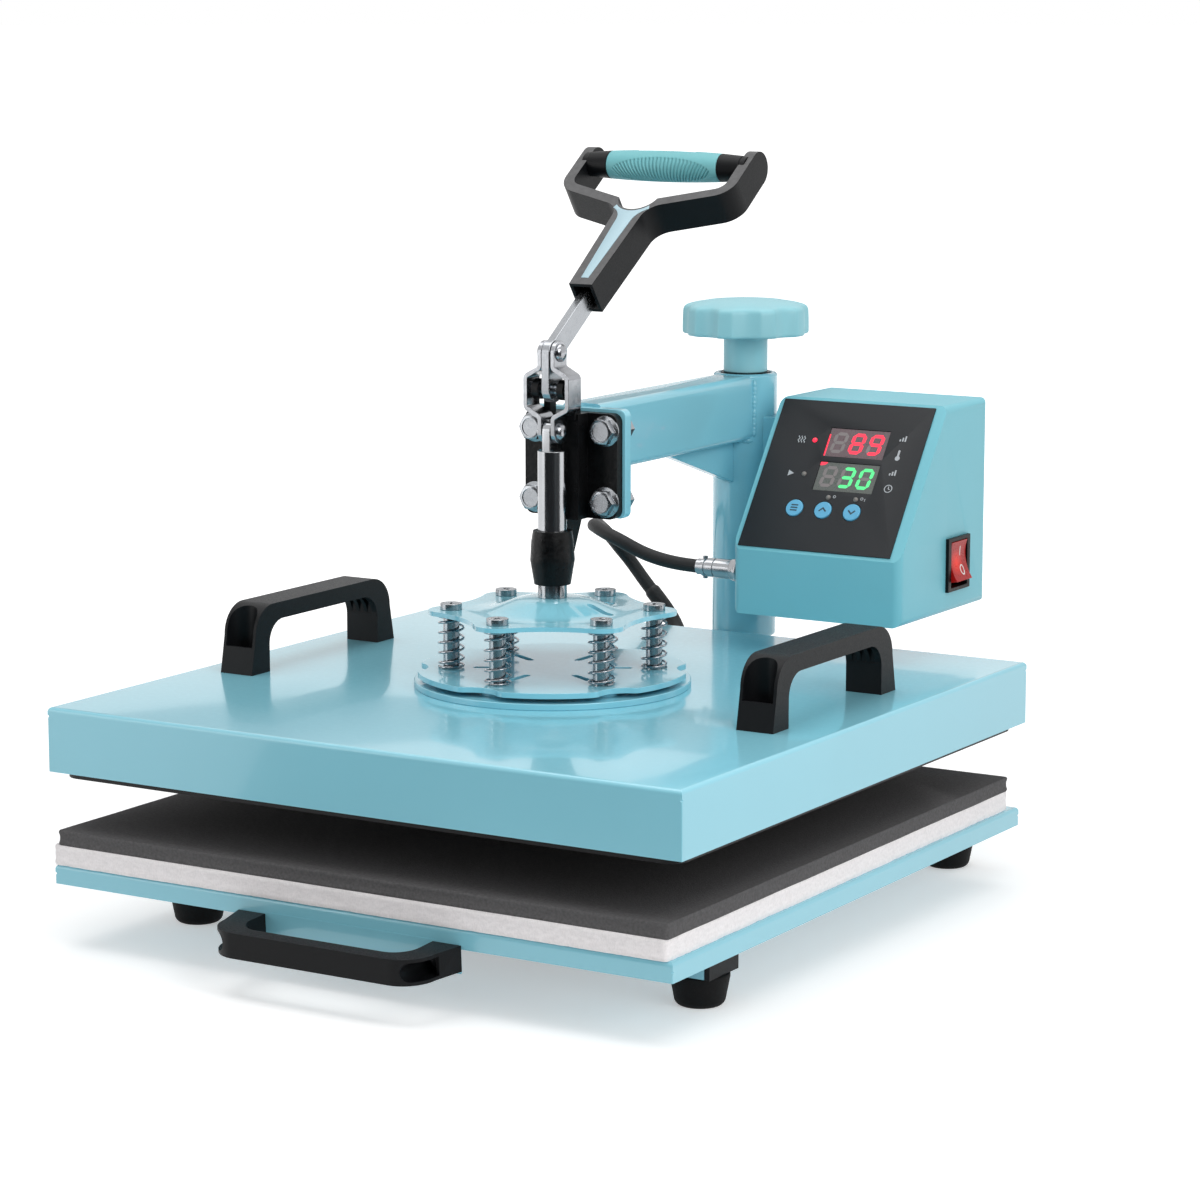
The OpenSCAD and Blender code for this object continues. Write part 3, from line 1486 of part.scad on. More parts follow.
// Upper rivet through the lever, and one domed stub in each plate at the plunger
module link_rivets() {
    out = narrow_in + link_t;
    color(steel) press() {
        translate([0, 0, link_top_z]) rotate([0, 90, 0]) cylinder(d = rivet_d, h = 2 * out + 1, center = true);
        for (m = [0, 1]) mirror([m, 0, 0]) {
            translate([out, 0, link_top_z]) rivet_head();
            translate([out, 0, tongue_z]) rivet_head();
            translate([narrow_in, 0, tongue_z]) rotate([0, 90, 0]) cylinder(d = rivet_d, h = link_t + 0.5);
        }
    }
}

module rivet_head() {
    rotate([0, 90, 0]) rotate_extrude() polygon([[0, 0], [5, 0], [4.6, 1.2], [3.2, 2.4], [1.5, 2.9], [0, 3]]);
}

base_frame();
tube_end_caps();
rubber_feet();
foot_screws();
post();
drawer_slides();
drawer_tray();
felt_board();
foam_pad();
drawer_handle();
drawer_runners();
drawer_handle_screws();
thrust_collar();
pressure_knob();
pressure_screw();
sleeve_tube();
arm_beam();
arm_gusset();
clamp_plate();
clamp_body();
clamp_bolts();
pivot_pin();
box_bracket();
box_shell();
box_back();
box_screws();
control_panel();
temperature_display();
time_display();
indicator_lamps();
circuit_board();
switch_bezel();
power_inlet();
connector_socket();
connector_plug();
platen_cable();
set_button();
up_button();
down_button();
power_rocker();
lever_bar();
lever_handle();
lever_inlay();
grip_rod();
lever_grip();
link_plates();
link_rivets();
plunger();
upper_spider();
lower_spider();
mount_disc();
shoulder_screws();
compression_springs();
platen_cover();
heating_plate();
insulation_board();
left_handle();
right_handle();
cover_handle_screws();
cable_grommet();
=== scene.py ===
import json
import math

import bmesh
import bpy
import numpy as np
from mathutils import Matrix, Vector


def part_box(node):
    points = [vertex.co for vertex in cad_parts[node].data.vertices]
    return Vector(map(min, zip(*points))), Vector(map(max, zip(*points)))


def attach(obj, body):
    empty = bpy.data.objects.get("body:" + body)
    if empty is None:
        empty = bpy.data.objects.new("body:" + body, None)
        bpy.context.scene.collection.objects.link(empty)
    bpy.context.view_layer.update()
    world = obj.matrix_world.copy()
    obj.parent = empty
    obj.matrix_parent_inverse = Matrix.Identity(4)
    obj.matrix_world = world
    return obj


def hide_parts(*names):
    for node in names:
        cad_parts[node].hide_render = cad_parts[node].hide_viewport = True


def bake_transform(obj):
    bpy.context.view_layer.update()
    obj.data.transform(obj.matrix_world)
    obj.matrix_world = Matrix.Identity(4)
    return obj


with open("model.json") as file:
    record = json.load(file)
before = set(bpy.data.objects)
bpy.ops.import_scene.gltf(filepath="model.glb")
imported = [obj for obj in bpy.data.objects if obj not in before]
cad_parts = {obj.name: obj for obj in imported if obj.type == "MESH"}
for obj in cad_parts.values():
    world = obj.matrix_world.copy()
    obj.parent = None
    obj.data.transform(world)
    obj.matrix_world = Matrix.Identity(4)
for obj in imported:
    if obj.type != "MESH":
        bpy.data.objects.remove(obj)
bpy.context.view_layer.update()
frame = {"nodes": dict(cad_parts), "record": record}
mm = 0.001
scene = bpy.context.scene


def boxOf(node):  # lowest and highest corner of a CAD node, in mm
    low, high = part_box(node)
    return np.array(low) / mm, np.array(high) / mm


discLow, discHigh = boxOf("mount_disc")
platenY = (discLow[1] + discHigh[1]) / 2  # the platen's centre line; sizes below are measured from it
print("frame loaded, platen centre at", round(platenY, 3))


def placeOnRow(points):  # points in mm from the platen's centre line to their place in metres
    return (np.asarray(points, float) + [0, platenY, 0]) * mm

# Mesh helpers


def gridFaces(rows, cols, wrapRows=False, wrapCols=False):  # one quad per cell of a grid of points, as index arrays
    i = np.arange(rows if wrapRows else rows - 1)[:, None]
    j = np.arange(cols if wrapCols else cols - 1)[None, :]
    nextI, nextJ = (i + 1) % rows, (j + 1) % cols
    cell = [i * cols + j, i * cols + nextJ, nextI * cols + nextJ, nextI * cols + j]
    return np.stack(np.broadcast_arrays(*cell), -1).reshape(-1, 4)


def gridShell(points, wrapRows=False):  # grid of points as a tube, a face at each end unless its rows close up
    rows, cols = points.shape[:2]
    faces = gridFaces(rows, cols, wrapRows, True).tolist()
    if not wrapRows:
        ring = np.arange(cols)
        faces += [ring[::-1].tolist(), (ring + (rows - 1) * cols).tolist()]
    return points.reshape(-1, 3), faces


def joinShells(*shells):  # several (points, faces) pairs as one
    points, faces, count = [], [], 0
    for shellPoints, shellFaces in shells:
        points.append(shellPoints)
        faces += [[k + count for k in face] for face in shellFaces]
        count += len(shellPoints)
    return np.concatenate(points), faces


def copies(shell, moves):  # one shell repeated at each (3x3 turn, offset) of a list
    points, faces = shell
    return joinShells(*[(points @ np.asarray(turn).T + offset, faces) for turn, offset in moves])


def turnZ(angle):  # 3x3 turn about the upright axis, degrees
    c, s = math.cos(math.radians(angle)), math.sin(math.radians(angle))
    return np.array([[c, -s, 0], [s, c, 0], [0, 0, 1]])


def lathe(profile, segments):  # (radius, height) profile turned about the upright axis
    profile = np.asarray(profile, float)
    angle = np.linspace(0, 2 * np.pi, segments, endpoint=False)
    r, z = profile[:, :1], profile[:, 1:]
    points = np.stack([r * np.cos(angle), r * np.sin(angle), z + 0 * angle], -1)
    return gridShell(points)


def softProfile(corners, radius, steps):
    # open profile whose inner corners become small curves, from radius or nearly half an edge before each corner
    corners = np.asarray(corners, float)
    before, at, after = corners[:-2], corners[1:-1], corners[2:]
    toBefore, toAfter = before - at, after - at
    lenBefore = np.linalg.norm(toBefore, axis=1, keepdims=True)
    lenAfter = np.linalg.norm(toAfter, axis=1, keepdims=True)
    cut = np.minimum(radius, 0.48 * np.minimum(lenBefore, lenAfter))
    a, b = at + toBefore / lenBefore * cut, at + toAfter / lenAfter * cut
    t = np.linspace(0, 1, steps + 1)[None, :, None]
    bend = (1 - t) ** 2 * a[:, None] + 2 * t * (1 - t) * at[:, None] + t ** 2 * b[:, None]
    return np.concatenate([corners[:1], bend.reshape(-1, corners.shape[1]), corners[-1:]])


def roundRect(width, depth, radius, steps=8):  # closed outline of a rectangle with round corners, anticlockwise
    angle = np.linspace(0, np.pi / 2, steps + 1)
    arc = radius * np.stack([np.cos(angle), np.sin(angle)], 1)
    corners = [(1, 1), (-1, 1), (-1, -1), (1, -1)]
    return np.concatenate([
        arc @ turnZ(90 * i)[:2, :2].T + [sx * (width / 2 - radius), sy * (depth / 2 - radius)]
        for i, (sx, sy) in enumerate(corners)
    ])


def offsetOutline(outline, distance):  # closed outline moved inwards along the mean of two normals, less at tips
    edge = np.roll(outline, -1, 0) - outline
    normal = np.stack([-edge[:, 1], edge[:, 0]], 1)
    normal /= np.maximum(np.linalg.norm(normal, axis=1, keepdims=True), 1e-9)
    mean = normal + np.roll(normal, 1, 0)
    mean /= np.maximum((mean * mean).sum(1, keepdims=True) / 2, 0.35)
    return outline + distance * mean


def slab(outline, low, high, edge, foot, steps):  # outline raised from low to high, rims rounded by foot and edge
    angle = np.linspace(0, np.pi / 2, steps + 1)
    rows = [(foot * (1 - math.sin(a)), low + foot * (1 - math.cos(a))) for a in angle]
    rows += [(edge * (1 - math.cos(a)), high - edge + edge * math.sin(a)) for a in angle]
    layers = [np.c_[offsetOutline(outline, inset), np.full(len(outline), z)] for inset, z in rows]
    return gridShell(np.stack(layers))


def splitEdges(outline, count):  # closed outline as evenly spread points, with the distance run to each and in all
    closed = np.r_[outline, outline[:1]]
    run = np.r_[0, np.linalg.norm(np.diff(closed, axis=0), axis=1).cumsum()]
    s = np.linspace(0, run[-1], count, endpoint=False)
    return np.stack([np.interp(s, run, closed[:, 0]), np.interp(s, run, closed[:, 1])], 1), s, run[-1]


def splinePoints(knots, count):  # natural cubic through the knots, by chord length, at evenly spread points
    knots = np.asarray(knots, float)
    span = np.linalg.norm(np.diff(knots, axis=0), axis=1)
    at = np.r_[0, np.cumsum(span)]
    n = len(knots)
    matrix = np.eye(n)
    inner = np.arange(1, n - 1)
    matrix[inner, inner - 1], matrix[inner, inner], matrix[inner, inner + 1] = (
        span[:-1], 2 * (span[:-1] + span[1:]), span[1:])
    slope = np.diff(knots, axis=0) / span[:, None]
    right = np.zeros_like(knots)
    right[1:-1] = 6 * np.diff(slope, axis=0)
    second = np.linalg.solve(matrix, right)
    s = np.linspace(0, at[-1], count)
    k = np.clip(np.searchsorted(at, s, side="right") - 1, 0, n - 2)
    h, low, up = span[k][:, None], (s - at[k])[:, None], (at[k + 1] - s)[:, None]
    return (second[k] * up ** 3 + second[k + 1] * low ** 3) / (6 * h) + (
        knots[k] / h - second[k] * h / 6) * up + (knots[k + 1] / h - second[k + 1] * h / 6) * low


def pathTube(path, radius, sides, side=(0.1, 0.35, 1)):
    # ring carried along a path and square to it, its first point on the given side; radius may change on the way
    way = np.gradient(path, axis=0)
    way /= np.linalg.norm(way, axis=1, keepdims=True)
    side = np.broadcast_to(np.asarray(side, float), path.shape)
    u = side - (side * way).sum(1, keepdims=True) * way
    u /= np.linalg.norm(u, axis=1, keepdims=True)
    v = np.cross(way, u)
    angle = np.linspace(0, 2 * np.pi, sides, endpoint=False)
    r = np.broadcast_to(np.asarray(radius, float), len(path))[:, None, None]
    ring = np.cos(angle)[None, :, None] * u[:, None] + np.sin(angle)[None, :, None] * v[:, None]
    return gridShell(path[:, None] + r * ring)


mergeGap, sliverGap = 1e-6, 1e-7  # m: points nearer than the first become one, edges shorter than the second go


def settle(mesh, creaseAngle):  # doubles merged, faces turned outwards, smooth below the crease angle
    bm = bmesh.new()
    bm.from_mesh(mesh)
    bmesh.ops.remove_doubles(bm, verts=bm.verts, dist=mergeGap)
    bmesh.ops.dissolve_degenerate(bm, edges=bm.edges, dist=sliverGap)
    bmesh.ops.recalc_face_normals(bm, faces=bm.faces)
    bm.to_mesh(mesh)
    bm.free()
    mesh.shade_smooth()
    mesh.set_sharp_from_angle(angle=math.radians(creaseAngle))


def addPiece(name, shell, finishName, body, replaces=None, crease=38):
    # a shell in mm, from the platen's centre line, as a piece that rides on a body; with body None it rides on none
    points, faces = shell
    mesh = bpy.data.meshes.new(name)
    mesh.from_pydata(placeOnRow(points).tolist(), [], faces)
    settle(mesh, crease)
    mesh.materials.append(finishOf[finishName])
    piece = bpy.data.objects.new(name, mesh)
    scene.collection.objects.link(piece)
    if body:
        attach(piece, body)
    if replaces:
        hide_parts(replaces)
    return piece

# Finishes


class NodeBoard:  # a material with its principled shader and short ways to add and join nodes
    def __init__(self, name, material=None):
        self.material = material or bpy.data.materials.new(name)
        self.material.use_nodes = True
        self.tree = self.material.node_tree
        self.shader = self.tree.nodes["Principled BSDF"]
        self.coords = self.add("ShaderNodeTexCoord").outputs["Object"]

    def add(self, kind, **sockets):  # new node; sockets are set by name, or joined where the value is a socket
        node = self.tree.nodes.new(kind)
        for key, value in sockets.items():
            self.put(node.inputs[key], value)
        return node

    def put(self, socket, value):  # a number or colour is set on the socket, another socket is joined to it
        if isinstance(value, bpy.types.NodeSocket):
            self.tree.links.new(value, socket)
        else:
            socket.default_value = value

    def noise(self, scale, detail=3.0, rough=0.5, coords=None):  # cloudy value from 0 to 1
        node = self.add("ShaderNodeTexNoise", Scale=scale, Detail=detail, Roughness=rough)
        self.put(node.inputs["Vector"], coords or self.coords)
        return node.outputs["Fac"]

    def stretch(self, scale):  # coordinates scaled unevenly, for brushed or drawn grain
        return self.add("ShaderNodeMapping", Vector=self.coords, Scale=scale).outputs["Vector"]

    def span(self, value, low, high, fromLow=0.3, fromHigh=0.7):  # a 0 to 1 value spread between two numbers
        node = self.add("ShaderNodeMapRange", Value=value)
        for i, number in enumerate((fromLow, fromHigh, low, high), 1):
            node.inputs[i].default_value = number
        return node.outputs["Result"]

    def mix(self, factor, one, other):  # two colours mixed by a value
        node = self.tree.nodes.new("ShaderNodeMix")
        node.data_type = "RGBA"
        self.put(node.inputs[0], factor)
        self.put(node.inputs[6], one)
        self.put(node.inputs[7], other)
        return node.outputs[2]

    def bump(self, height, depth):  # height value as relief, depth in mm
        return self.add("ShaderNodeBump", Height=height, Distance=depth * mm, Strength=1.0).outputs["Normal"]

    def set(self, **sockets):  # the shader's own sockets, _ for a space in their names
        for key, value in sockets.items():
            self.put(self.shader.inputs[key.replace("_", " ")], value)


def mathNode(tree, operation, one, other):  # two values joined by their sum, their product or the larger of them
    node = tree.nodes.new("ShaderNodeMath")
    node.operation = operation
    tree.links.new(one, node.inputs[0])
    tree.links.new(other, node.inputs[1])
    return node.outputs[0]


def linear(red, green, blue):  # a colour as a screen shows it, 0 to 255, as the shader counts it
    c = np.array([red, green, blue]) / 255
    return (*np.where(c <= 0.04045, c / 12.92, ((c + 0.055) / 1.055) ** 2.4).tolist(), 1.0)


def shade(colour, factor):  # a colour times a factor, no channel over 1
    return (*(min(1.0, c * factor) for c in colour[:3]), 1.0)


def finish(name, colour, rough, tint, tintScale, grain, grainScale, grainDetail=2.0, roughSpan=0.06, metal=0.0,
           specular=0.5, coat=0.0, coatRough=0.06, stretch=None, wear=0.0):
    # colour drifts by tint, gloss by roughSpan, and a fine grain stands grain mm proud; wear lightens the edges
    board = NodeBoard(name)
    colour = linear(*colour)
    drift = board.noise(tintScale, 4.0)
    base = board.mix(board.span(drift, 0.0, 1.0), shade(colour, 1 - tint), shade(colour, 1 + tint))
    if wear:
        edge = board.add("ShaderNodeNewGeometry").outputs["Pointiness"]  # 0.5 where the surface is flat
        base = board.mix(board.span(edge, 0.0, wear, 0.53, 0.62), base, shade(colour, 2.6))
    coords = board.stretch(stretch) if stretch else None
    fine = board.noise(grainScale, grainDetail, 0.55, coords)
    board.set(Base_Color=base, Metallic=metal, Roughness=board.span(fine, rough - roughSpan, rough + roughSpan),
              Normal=board.bump(fine, grain), Specular_IOR_Level=specular)
    if coat:
        board.set(Coat_Weight=coat, Coat_Roughness=coatRough)
    return board.material


finishes = {
    # colour, roughness, drift of the colour and its scale, height of the grain (mm) and its scale, what else differs
    "aqua_paint": ((137, 205, 222), 0.2, 0.02, 9, 0.0012, 300, dict(roughSpan=0.03, coat=0.5, coatRough=0.05)),
    "box_paint": ((118, 192, 206), 0.42, 0.03, 9, 0.03, 1500, dict(roughSpan=0.05)),
    "knob_plastic": ((144, 202, 212), 0.4, 0.03, 9, 0.015, 1400, {}),
    "grip_rubber": ((114, 184, 190), 0.55, 0.05, 9, 0.03, 1800, {}),
    "inlay_plastic": ((166, 196, 207), 0.35, 0.03, 9, 0.01, 1500, {}),
    "black_plastic": ((15, 16, 18), 0.42, 0.12, 9, 0.05, 1300, dict(
        grainDetail=4, roughSpan=0.08, wear=0.25, specular=0.16)),
    # the lever handle's front: a coarse grain, and a grey that is partly its texture and partly painted light from
    # the top lamp
    "handle_grain_and_painted_light": ((92, 92, 93), 0.7, 0.14, 260, 0.09, 1100, dict(grainDetail=4, roughSpan=0.08, specular=0.4)),
    "foot_rubber": ((12, 12, 13), 0.7, 0.18, 60, 0.05, 1100, dict(specular=0.2)),
    "cable_rubber": ((24, 24, 25), 0.55, 0.15, 40, 0.03, 1600, dict(specular=0.35)),
    "black_casting": ((9, 9, 10), 0.38, 0.2, 80, 0.22, 420, dict(
        grainDetail=5, roughSpan=0.12, wear=0.3, specular=0.22)),
    "heater_coating": ((22, 22, 24), 0.5, 0.1, 9, 0.03, 900, dict(specular=0.3)),
    "zinc_steel": ((166, 169, 173), 0.24, 0.07, 60, 0.0015, 500, dict(metal=1.0, roughSpan=0.04)),
    "bright_steel": ((168, 170, 173), 0.16, 0.05, 60, 0.004, 300, dict(
        metal=1.0, roughSpan=0.05, stretch=(1, 1, 0.05))),
    "spring_steel": ((166, 168, 172), 0.16, 0.06, 200, 0.005, 900, dict(metal=1.0)),
    "link_chrome": ((166, 168, 172), 0.2, 0.06, 80, 0.006, 300, dict(metal=1.0, roughSpan=0.05)),
    "mineral_wool": ((214, 200, 160), 0.9, 0.2, 90, 0.5, 500, {}),
    "panel_film": ((22, 24, 28), 0.42, 0.05, 30, 0.012, 2200, dict(specular=0.35)),
    "board": ((40, 96, 62), 0.4, 0.15, 300, 0.02, 800, {}),
    "key_blue": ((98, 176, 213), 0.35, 0.04, 60, 0.008, 1800, {}),
    "rocker_red": ((158, 14, 18), 0.3, 0.08, 70, 0.005, 900, dict(specular=0.25)),
    "display_red": ((104, 86, 90), 0.3, 0.04, 50, 0.004, 1500, {}),
    "display_green": ((92, 96, 92), 0.3, 0.04, 50, 0.004, 1500, {}),
    "dim_segment": ((128, 120, 120), 0.4, 0.04, 80, 0.004, 1500, {}),
    "print_grey": ((176, 180, 184), 0.5, 0.05, 200, 0.004, 1500, {}),
    "key_ink": ((34, 58, 74), 0.5, 0.06, 200, 0.004, 1500, {}),
    "print_white": ((226, 222, 218), 0.5, 0.04, 200, 0.004, 1500, {}),
    "lamp_grey": ((120, 116, 112), 0.3, 0.1, 300, 0.01, 900, {}),
}
finishOf = {name: finish(name, *row, **more) for name, (*row, more) in finishes.items()}

# the rocker is lit from inside: brightest at one point, down to a faint rest at the radius (mm)
rockerGlow = {"at": (143.0, 211.2, 180.4), "radius": 8.0, "colour": (255, 60, 24), "strength": 0.55, "rest": 0.04}


def innerGlow(material, glow):  # glow falls evenly with the distance from its middle
    board = NodeBoard(material.name, material)
    near = board.add("ShaderNodeVectorMath", Vector=board.coords)
    near.operation = "DISTANCE"
    near.inputs[1].default_value = placeOnRow(glow["at"]).tolist()
    fall = board.span(near.outputs["Value"], glow["strength"], glow["rest"], 0.0, glow["radius"] * mm)
    board.set(Emission_Color=linear(*glow["colour"]), Emission_Strength=fall)


innerGlow(finishOf["rocker_red"], rockerGlow)


def fibreFinish(name, colour, scale, depth):  # matted fibres: two crossed stretched noises as tone and relief
    board = NodeBoard(name)
    colour = linear(*colour)
    lengthwise = board.noise(scale, 5, 0.6, board.stretch((1, 0.22, 0.5)))
    crosswise = board.noise(scale, 5, 0.6, board.stretch((0.22, 1, 0.5)))
    fibres = mathNode(board.tree, "ADD", lengthwise, crosswise)
    tone = board.span(fibres, 0.0, 1.0, 0.75, 1.25)
    board.set(Base_Color=board.mix(tone, shade(colour, 0.9), shade(colour, 1.05)), Roughness=0.95,
              Normal=board.bump(fibres, depth), Sheen_Weight=0.25, Sheen_Roughness=0.6)
    return board.material


def foamFinish(name, colour, cell, depth):  # closed foam: round cells as tiny pits, with a cloudy tone
    board = NodeBoard(name)
    colour = linear(*colour)
    cells = board.add("ShaderNodeTexVoronoi", Scale=cell, Vector=board.coords).outputs["Distance"]
    cloud = board.noise(cell * 0.6, 4)
    tone = board.mix(board.span(cloud, 0.0, 1.0), shade(colour, 0.82), shade(colour, 1.16))
    board.set(Base_Color=tone, Roughness=0.88, Normal=board.bump(cells, depth), Specular_IOR_Level=0.3)
    return board.material


def glowFinish(name, colour, strength, body=(20, 18, 18)):  # a lit lens: faint cells over an even glow
    board = NodeBoard(name)
    cells = board.noise(900, 2)
    board.set(Base_Color=board.mix(cells, linear(*body), shade(linear(*body), 1.5)), Roughness=0.35,
              Emission_Color=linear(*colour), Emission_Strength=strength)
    return board.material


finishOf["felt"] = fibreFinish("felt", (248, 244, 245), 1200, 0.12)
finishOf["foam"] = foamFinish("foam", (90, 89, 90), 1100, 0.12)
finishOf["lit_red"] = glowFinish("lit_red", (255, 40, 70), 1.6)
finishOf["lit_green"] = glowFinish("lit_green", (90, 255, 150), 1.1)
print("finishes ready")

# Heater cable, from the plug round in a hairpin to the back of the cover
cable = {
    "diameter": 8.0, "rings": 170, "sides": 20, "cordPoints": 40,
    "route": [
        (4.4, 153.1, 174.7), (-11.5, 153, 175.5), (-24, 152.5, 177.5), (-36, 152, 181), (-47.5, 151, 186),
        (-59, 153, 189.5), (-69.5, 159.5, 191.5), (-77, 169.5, 190.5), (-82.5, 180.5, 189),
        (-88, 191.5, 187.5), (-92.5, 203, 184), (-93, 213, 178), (-90.5, 221, 169.5), (-84, 225.5, 159.5),
        (-76, 226, 150), (-67.5, 226, 141), (-59, 226, 131.5), (-51, 223, 122.5), (-44.5, 215, 116),
        (-41.5, 203.5, 112.5), (-41, 191, 112),
    ],
    "moveFrom": 174.0, "moveTo": 113.0,  # heights between which it goes over from the arm to the plunger
    # shrink sleeve on the falling strand: where along the cable, its wall, and how its ends run out
    "sleeveFrom": 0.735, "sleeveTo": 0.93, "sleeveWall": 0.8, "sleeveSteep": 30.0, "sleeveLip": 0.05,
}
cablePath = splinePoints(cable["route"], cable["rings"])
cableRadius = cable["diameter"] / 2


def bendWithPlunger(piece):  # its place baked into its points; it rides on no body
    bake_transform(piece)


cableTube = addPiece("heater_cable", pathTube(cablePath, cableRadius, cable["sides"]), "cable_rubber", None,
                     "platen_cable")
bendWithPlunger(cableTube)

# shrink sleeve: the cable's own line with a wall that tapers at both ends
sleevePath = cablePath[int(cable["sleeveFrom"] * cable["rings"]):int(cable["sleeveTo"] * cable["rings"])]
sleeveAt = np.linspace(0, 1, len(sleevePath))
sleeveTaper = np.clip(np.minimum(sleeveAt, 1 - sleeveAt) * cable["sleeveSteep"], cable["sleeveLip"], 1)
sleeveRadius = cableRadius + cable["sleeveWall"] * sleeveTaper
cableSleeve = addPiece("cable_sleeve", pathTube(sleevePath, sleeveRadius, cable["sides"]), "cable_rubber", None)
bendWithPlunger(cableSleeve)
placeOnRow(splinePoints(cable["route"], cable["cordPoints"]))

# Felt board and foam pad: a rounded outline with a slightly wavy cut edge, its sides drawn in
pads = {
    "felt": {"node": "felt_board", "drawIn": 0.5, "wave": 0.35, "fuzz": 0.22, "edge": 0.6, "seed": 4},
    "foam": {"node": "foam_pad", "drawIn": 1.1, "wave": 0.4, "fuzz": 0.05, "edge": 0.9, "seed": 9},
}
padGrid = {"corner": 3.0, "cornerSteps": 5, "around": 760, "rows": 9, "waves": (9, 17, 31)}  # the same for both


def padShell(settings):  # inset: waves round the outline, half a sine over the height, fuzz, and more at both rims
    low, high = boxOf(settings["node"])
    size, centre = high - low, (low + high) / 2 - [0, platenY, 0]
    corners = roundRect(size[0], size[1], padGrid["corner"], padGrid["cornerSteps"])
    outline, s, around = splitEdges(corners, padGrid["around"])
    random = np.random.default_rng(settings["seed"])
    phase = random.uniform(0, 2 * np.pi, len(padGrid["waves"]))
    wave = np.mean([np.sin(2 * np.pi * k * s / around + p) for k, p in zip(padGrid["waves"], phase)], 0)
    row = np.linspace(0, 1, padGrid["rows"])[:, None]
    fuzz = settings["fuzz"] * np.abs(random.standard_normal((len(row), len(s))))
    rim = settings["edge"] * ((row == 0) | (row == 1))
    inset = settings["wave"] * (0.5 + 0.5 * wave) + settings["drawIn"] * np.sin(np.pi * row) + rim + fuzz
    inward = offsetOutline(outline, 1.0) - outline
    flat = outline + centre[:2] + inward * inset[..., None]
    height = np.broadcast_to(low[2] + size[2] * row, inset.shape)
    return gridShell(np.concatenate([flat, height[..., None]], -1))


for padName, padSettings in pads.items():
    pad = addPiece(padName + "_layer", padShell(padSettings), padName, "drawer", padSettings["node"], crease=60)
print("pads ready")

# Compression springs: a wire round a helix whose end turns lie close
springs = {"circle": 55.6, "count": 6, "firstAt": 90.0, "mean": 6.7, "wire": 1.3, "sides": 9, "turns": 6.4,
           "dead": 0.85, "deadPitch": 1.02, "stepsPerTurn": 28}
springLow, springHigh = boxOf("compression_springs")


def springShell(settings):  # height rises slowly in the dead turns at each end and evenly between
    turns = np.linspace(0, settings["turns"], int(settings["turns"] * settings["stepsPerTurn"]))
    low, high = springLow[2] + settings["wire"] / 2, springHigh[2] - settings["wire"] / 2
    close = settings["wire"] * settings["deadPitch"] * settings["dead"]
    knots = [0, settings["dead"], settings["turns"] - settings["dead"], settings["turns"]]
    height = np.interp(turns, knots, [low, low + close, high - close, high])
    angle = 2 * np.pi * turns
    out = np.stack([np.cos(angle), np.sin(angle), 0 * angle], 1)
    path = settings["mean"] * out + np.stack([0 * height, 0 * height, height], 1)
    return pathTube(path, settings["wire"] / 2, settings["sides"], out)


springTurns = [turnZ(springs["firstAt"] + 360 / springs["count"] * i) for i in range(springs["count"])]
springMoves = [(turn, turn @ [springs["circle"], 0, 0]) for turn in springTurns]
springSet = addPiece("spring_set", copies(springShell(springs), springMoves), "spring_steel", None,
                     "compression_springs", crease=80)
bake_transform(springSet)
print("springs ready")

# Pressure knob: a lathe profile whose radius dips at each scallop, more towards the rim
knob = {
    "axisY": 215.5, "lobes": 9, "firstDip": 20.0, "rim": 37.5, "scallop": 11.0, "dip": 3.2, "soften": 0.4,
    "columns": 324, "cornerRound": 3.6, "cornerSteps": 6,
    # radius, height over the stem's foot, share of the dip
    "profile": [
        (12.5, 0.0, 0.0), (13.0, 0.5, 0.0), (13.0, 21.3, 0.0), (13.7, 22.0, 0.0), (24.0, 22.0, 0.2),
        (33.5, 22.0, 0.9), (37.5, 22.4, 1.0), (37.5, 27.5, 1.0), (37.4, 33.0, 1.0), (37.0, 38.9, 1.0),
        (31.5, 40.6, 0.5), (24.0, 41.9, 0.12), (12.0, 42.8, 0.0), (0.05, 43.0, 0.0),
    ],
}


def knobShell(settings):  # dip over the rim's arc length, deepest at the scallop's middle, with softened shoulders
    angle = np.linspace(0, 2 * np.pi, settings["columns"], endpoint=False)
    pitch = 2 * np.pi / settings["lobes"]
    offset = (angle - math.radians(settings["firstDip"]) + pitch / 2) % pitch - pitch / 2
    depth = settings["dip"] - (offset * settings["rim"]) ** 2 / (2 * settings["scallop"])
    depth = (depth + np.sqrt(depth ** 2 + settings["soften"] ** 2)) / 2
    profile = softProfile(settings["profile"], settings["cornerRound"], settings["cornerSteps"])
    radius = profile[:, :1] - profile[:, 2:] * depth
    foot = boxOf("pressure_knob")[0][2]
    points = np.stack([radius * np.cos(angle), settings["axisY"] + radius * np.sin(angle),
                       foot + profile[:, 1:2] + 0 * angle], -1)
    return gridShell(points)


addPiece("lobed_knob", knobShell(knob), "knob_plastic", "knob", "pressure_knob", crease=50)

